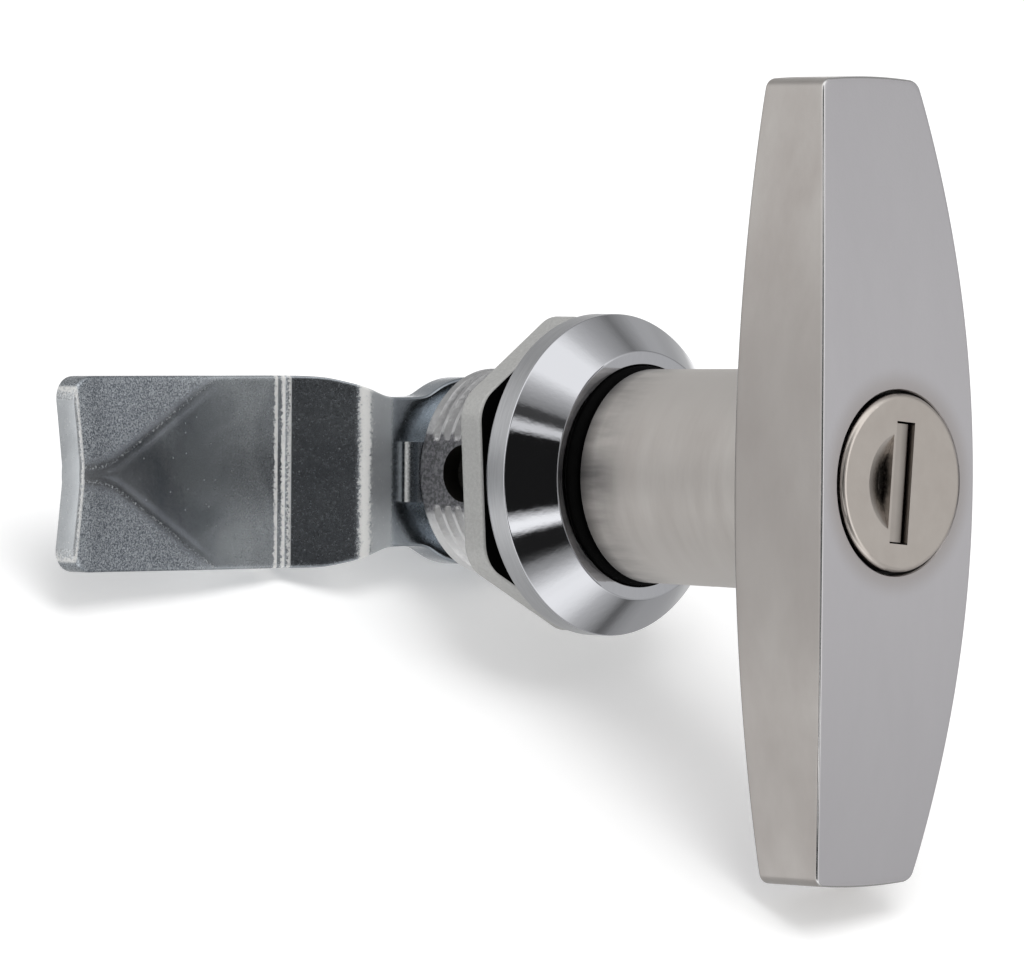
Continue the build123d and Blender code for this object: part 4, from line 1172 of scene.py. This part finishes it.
def hexagon(inset):
    """Hexagon with a flat towards -X, moved inwards by the inset and turned by the nut's angle."""
    angle = np.radians(np.arange(30, 390, 60) + NUT_TURN)
    reach = (NUT_APOTHEM - inset) / np.cos(np.radians(30))
    corners = [(reach * np.cos(a), reach * np.sin(a), NUT_CORNER - inset) for a in angle]
    outline = rounded(corners, steps=9)
    following = np.roll(outline, -1, 0)
    return np.stack([outline, outline * 0.75 + following * 0.25, (outline + following) / 2,
                     outline * 0.25 + following * 0.75], 1).reshape(-1, 2)


def nut_surface():
    """Rings from the bore over the front face, round the edge, down the flats and back."""
    direction = hexagon(0) / np.linalg.norm(hexagon(0), axis=1)[:, None]
    mouth = direction * (NUT_BORE_R + NUT_COUNTERSINK)
    rings = []
    for face, way in ((NUT_FRONT, -1), (NUT_BACK, 1)):
        half = [(direction * NUT_BORE_R, face + way * NUT_COUNTERSINK), (mouth, face)]
        for share in (0.03, 0.35, 0.7, 0.97):
            half.append((mouth * (1 - share) + hexagon(NUT_EDGE) * share, face))
        for a in np.linspace(0, np.pi / 2, 5):
            half.append((hexagon(NUT_EDGE * (1 - np.sin(a))), face + way * NUT_EDGE * (1 - np.cos(a))))
        half.append((hexagon(0), face + way * (NUT_EDGE + 0.03)))
        rings += half if way < 0 else half[::-1]
    return stacked(rings)


panel_nut = make_piece("lock_nut", *nut_surface(), "base", tumbled_zinc, "cast_zinc")
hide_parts("panel_nut")
middle, normal = face_table(panel_nut)
# The nut's front face takes the black rubber, as painted shade in the gap behind the bezel.
paint_faces(panel_nut, rubber, (normal[:, 1] < -FACE_ABOVE) & (middle[:, 1] < -NUT_FRONT + 0.1))
gasket_outline = rounded([(NUT_BORE_R, GASKET_BACK, 0.1), (GASKET_R, GASKET_BACK, 0.1),
                          (GASKET_R, NUT_FRONT, 0.35), (NUT_BORE_R, NUT_FRONT, 0.1)])
gasket = make_piece("rubber_gasket", *lathe(gasket_outline), "base", rubber, "black_rubber")
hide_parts("panel_gasket")

# %% [markdown]
# ## The cam
#
# The cam is stamped from 3 mm steel, cranked in a press, and its outer corners are dented
# back so that it rides onto the frame.  A press leaves soft bends, rolled edges and a plate
# that is never quite flat, and bright plating shows all three.  So both skins of the plate
# are grids over the same stations along the cam: the stations give the bends, the width at
# each gives the outline, and one function of the place adds the dents and the slow waves.

# %% Cam outline
HUB_R, NECK_HALF, BLADE_HALF, TIP, TIP_CORNER = 10.0, 7.9, 10.2, -51.9, 2.6
NECK_END, BLADE_START = -12.5, -18.9
BEND_IN, DROP, CAM_FRONT, CAM_THICK = -15.9, 6.1, -18.5, 3.0
OUTER_BEND_R, INNER_BEND_R = 3.0, 1.2
CAM_EDGE = 0.3
SQUARE_HALF = 4.52


def soft_ramp(value, softness):
    """Zero before 0 and the value after it, joined by a hyperbola: (v + root of v^2 + s^2) / 2."""
    return 0.5 * (value + np.sqrt(value ** 2 + softness ** 2))


def cam_plan(x, inset):
    """(x, half width) of the outline at the stations x, moved inwards.

    Over the hub's outer half it is a circle.  Towards the tip it is the wider of the circle and a
    neck that widens to the blade, and the blade's corner is an arc about its own centre.
    """
    widening = (BLADE_HALF - NECK_HALF) / (NECK_END - BLADE_START)
    neck = NECK_HALF + widening * (soft_ramp(NECK_END - x, 0.9) - soft_ramp(BLADE_START - x, 0.9))
    neck = neck - 3 * fade(x, -4, 0)
    hub = np.sqrt(np.maximum(HUB_R ** 2 - x ** 2, 0))
    half = np.where(x > 0, hub, hub + soft_ramp(neck - hub, 0.7))
    corner_x, corner_half = TIP + TIP_CORNER, BLADE_HALF - TIP_CORNER
    arc = corner_half + np.sqrt(np.maximum(TIP_CORNER ** 2 - (corner_x - x) ** 2, 0))
    half = np.where(x < corner_x, arc, half)
    hub_share, corner_share = (HUB_R - inset) / HUB_R, (TIP_CORNER - inset) / TIP_CORNER
    places = [x > 0, x < corner_x]
    moved_x = np.select(places, [x * hub_share, corner_x + (x - corner_x) * corner_share], x)
    moved = np.select(places, [half * hub_share, corner_half + (half - corner_half) * corner_share],
                      half - inset)
    return moved_x, moved


# %% [markdown]
# The stations are close together round the hub's end, at the bends and at the tip's corner.
# For each skin the bends have their own radii and places, and the same number of stations,
# so the two skins can be joined edge to edge.

# %% Cam stations
HUB_STATIONS = HUB_R * np.cos(np.radians(np.linspace(0, 56, 15)))
MIDDLE_STATIONS = np.linspace(5.5, -5.5, 23)
BEND_STATIONS, SLANT_STATIONS, NECK_STATIONS, BLADE_STATIONS, TIP_STATIONS = 11, 8, 16, 56, 10


def cam_stations(bend_x, level, radii):
    """Stations x and depths of one skin: straight runs joined by two arcs of 45 degrees.

    An arc of radius R starts R * tan(22.5 degrees) before the corner, and its points turn about
    a centre that lies square to the run.
    """
    turn = np.radians(45)
    reach = [radius * np.tan(turn / 2) for radius in radii]
    t = np.linspace(0, turn, BEND_STATIONS)
    first_x = bend_x + reach[0] - radii[0] * np.sin(t)
    first_z = level - radii[0] * (1 - np.cos(t))
    second_corner = bend_x - DROP
    second_x = second_corner - reach[1] + radii[1] * np.sin(t[::-1])
    second_z = level - DROP + radii[1] * (1 - np.cos(t[::-1]))
    share = np.linspace(0, 1, SLANT_STATIONS)[1:-1]
    slant_x = first_x[-1] + (second_x[0] - first_x[-1]) * share
    slant_z = first_z[-1] + (second_z[0] - first_z[-1]) * share
    neck = np.linspace(-6, first_x[0], NECK_STATIONS)[:-1]
    corner = TIP + TIP_CORNER
    blade = np.linspace(second_x[-1], corner, BLADE_STATIONS)[1:]
    tip = corner - TIP_CORNER * np.sin(np.radians(np.linspace(0, 90, TIP_STATIONS)))[1:]
    runs = [
        (HUB_STATIONS, level), (MIDDLE_STATIONS[1:], level), (neck, level), (first_x, first_z),
        (slant_x, slant_z), (second_x, second_z), (blade, level - DROP), (tip, level - DROP)]
    return (np.concatenate([x for x, _ in runs]),
            np.concatenate([np.broadcast_to(z, x.shape) for x, z in runs]))


# %% [markdown]
# The stations carry the plate's two faces.  Each face is a grid of stations by columns, and
# the front one is pressed back at the dented corners.  The edge between them is rounded.

# %% Cam surface
DENT_SLOPE = np.tan(np.radians(9.12))
FOLD_SLOPE, FOLD_GAP, FOLD_LEVEL = 0.6, 0.6, 2.4
GROOVE_DEPTH, GROOVE_BEFORE, GROOVE_WIDTH = 0.08, 0.45, 0.4
BLADE_FADE, GROOVE_FADE = (24, 28), (30, 36)    # from the axis, where the waves and the groove set in
BLADE_LEVEL = 0.055
FACE_COLUMNS, SQUARE_MARGIN = 65, 14    # points across a face, and those beside the square hole
FOLD_LIMIT = 5.0
UNPRESSED = -0.9                     # what the tip's end face says, up to END_SKIN from the tip
END_SKIN = 0.03


def beyond_fold(x, y):
    """Distance in millimetres from the fold towards the dented corner, and less than 0 before it.

    A fold starts level, a little off the middle of the tip, and then leaves the middle at the
    fold's slope.  The distance across the cam is shortened by the slope's cosine.
    """
    fold = FOLD_GAP + soft_ramp(FOLD_SLOPE * (x - TIP) - FOLD_LEVEL, 1.0)
    return (abs(y) - fold) / np.hypot(1, FOLD_SLOPE)


def cam_relief(x, y):
    """How far the plate is pressed back at a place, in millimetres.

    Beyond a fold, the distance from it times the dent's slope, rounded at the fold.  Before it, a
    shallow groove.  Over the whole blade, waves of a few hundredths.
    """
    beyond = beyond_fold(x, y)
    dent = DENT_SLOPE * soft_ramp(beyond, 0.25)
    groove = GROOVE_DEPTH * np.exp(-((beyond + GROOVE_BEFORE) / GROOVE_WIDTH) ** 2)
    groove = groove * fade(-x, *GROOVE_FADE)
    slow = np.sin(x / 2.9 + 0.5 * np.sin(y / 3.1)) * np.cos(y / 5.3 + x / 11)
    waves = 0.02 * np.sin(y / 1.9 + x / 4.7) - 0.035 * slow
    return -(dent + groove + fade(-x, *BLADE_FADE) * (BLADE_LEVEL + waves))


def cam_surface():
    """Both skins, rolled edges, the tip's end face and the square hole, as merged grids."""
    skins = [cam_stations(BEND_IN, CAM_FRONT, (OUTER_BEND_R, INNER_BEND_R)),
             cam_stations(BEND_IN + CAM_THICK * np.tan(np.radians(22.5)), CAM_FRONT - CAM_THICK,
                          (INNER_BEND_R, OUTER_BEND_R))]

    def place(share, inset, across):
        """Points at a share of the thickness, an inset from the outline and a share of the width."""
        corners = []
        for x, z in skins:
            moved_x, half = cam_plan(x, inset)
            y = half[:, None] * across
            wide_x = moved_x[:, None] + 0 * y
            corners.append(np.stack([wide_x, y, z[:, None] + cam_relief(wide_x, y)], -1))
        return corners[0] * (1 - share) + corners[1] * share

    across = np.linspace(-1, 1, FACE_COLUMNS)
    rolled = np.radians(np.linspace(0, 90, 5))
    section = [(CAM_EDGE * (1 - np.cos(a)) / CAM_THICK, CAM_EDGE * (1 - np.sin(a))) for a in rolled]
    section += [(0.5, 0.0)] + [(1 - share, inset) for share, inset in section[::-1]]
    front, back = place(0, CAM_EDGE, across), place(1, CAM_EDGE, across)
    rows, columns = front.shape[:2]
    parts = []
    for side in (1.0, -1.0):
        band = np.concatenate([place(share, inset, np.array([side])) for share, inset in section], 1)
        parts.append((band.reshape(-1, 3), grid_faces(rows, len(section))))
    end = np.stack([place(share, inset, across)[-1] for share, inset in section])
    parts.append((end.reshape(-1, 3), grid_faces(len(section), columns)))

    window_rows = len(HUB_STATIONS) - 1, len(HUB_STATIONS) + len(MIDDLE_STATIONS) - 2
    window_columns = SQUARE_MARGIN, FACE_COLUMNS - 1 - SQUARE_MARGIN
    loop = window_loop(window_rows, window_columns)
    s = np.linspace(-1, 1, window_columns[1] - window_columns[0] + 1)
    t = np.linspace(1, -1, window_rows[1] - window_rows[0] + 1)
    square_x = np.concatenate([0 * s[:-1] + 1, t[:-1], 0 * s[1:] - 1, t[:0:-1]]) * SQUARE_HALF
    square_y = np.concatenate([s[:-1], 0 * t[:-1] + 1, s[:0:-1], 0 * t[1:] - 1]) * SQUARE_HALF
    hole_rings = []
    for skin, level, order in ((front, CAM_FRONT, 1), (back, CAM_FRONT - CAM_THICK, -1)):
        square = np.column_stack([square_x, square_y, np.full(len(square_x), level)])
        outside = skin[loop]
        hole_rings += [outside, (outside + square) / 2, square][::order]
        faces = grid_faces(rows, columns)
        keep = outside_window(faces, columns, window_rows, window_columns)
        parts.append((skin.reshape(-1, 3), faces[keep]))
    parts.append((np.concatenate(hole_rings), grid_faces(len(hole_rings), len(square_x), False, True)))
    return joined(parts)


cam_piece = make_piece("cranked_cam", *cam_surface(), "handle", cam_plate, "zinc_plate", sharp=50)
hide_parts("cam")
point = np.empty(len(cam_piece.data.vertices) * 3, np.float32)
cam_piece.data.vertices.foreach_get("co", point)
point = point.reshape(-1, 3) / MM
beyond = np.clip(beyond_fold(point[:, 0], point[:, 2]), -FOLD_LIMIT, FOLD_LIMIT)
beyond = np.where(point[:, 0] > TIP + END_SKIN, beyond, UNPRESSED)
from_fold = cam_piece.data.attributes.new("from_fold", "FLOAT", "POINT")
from_fold.data.foreach_set("value", beyond.astype(np.float32))
print("from_fold on", len(from_fold.data), "points")
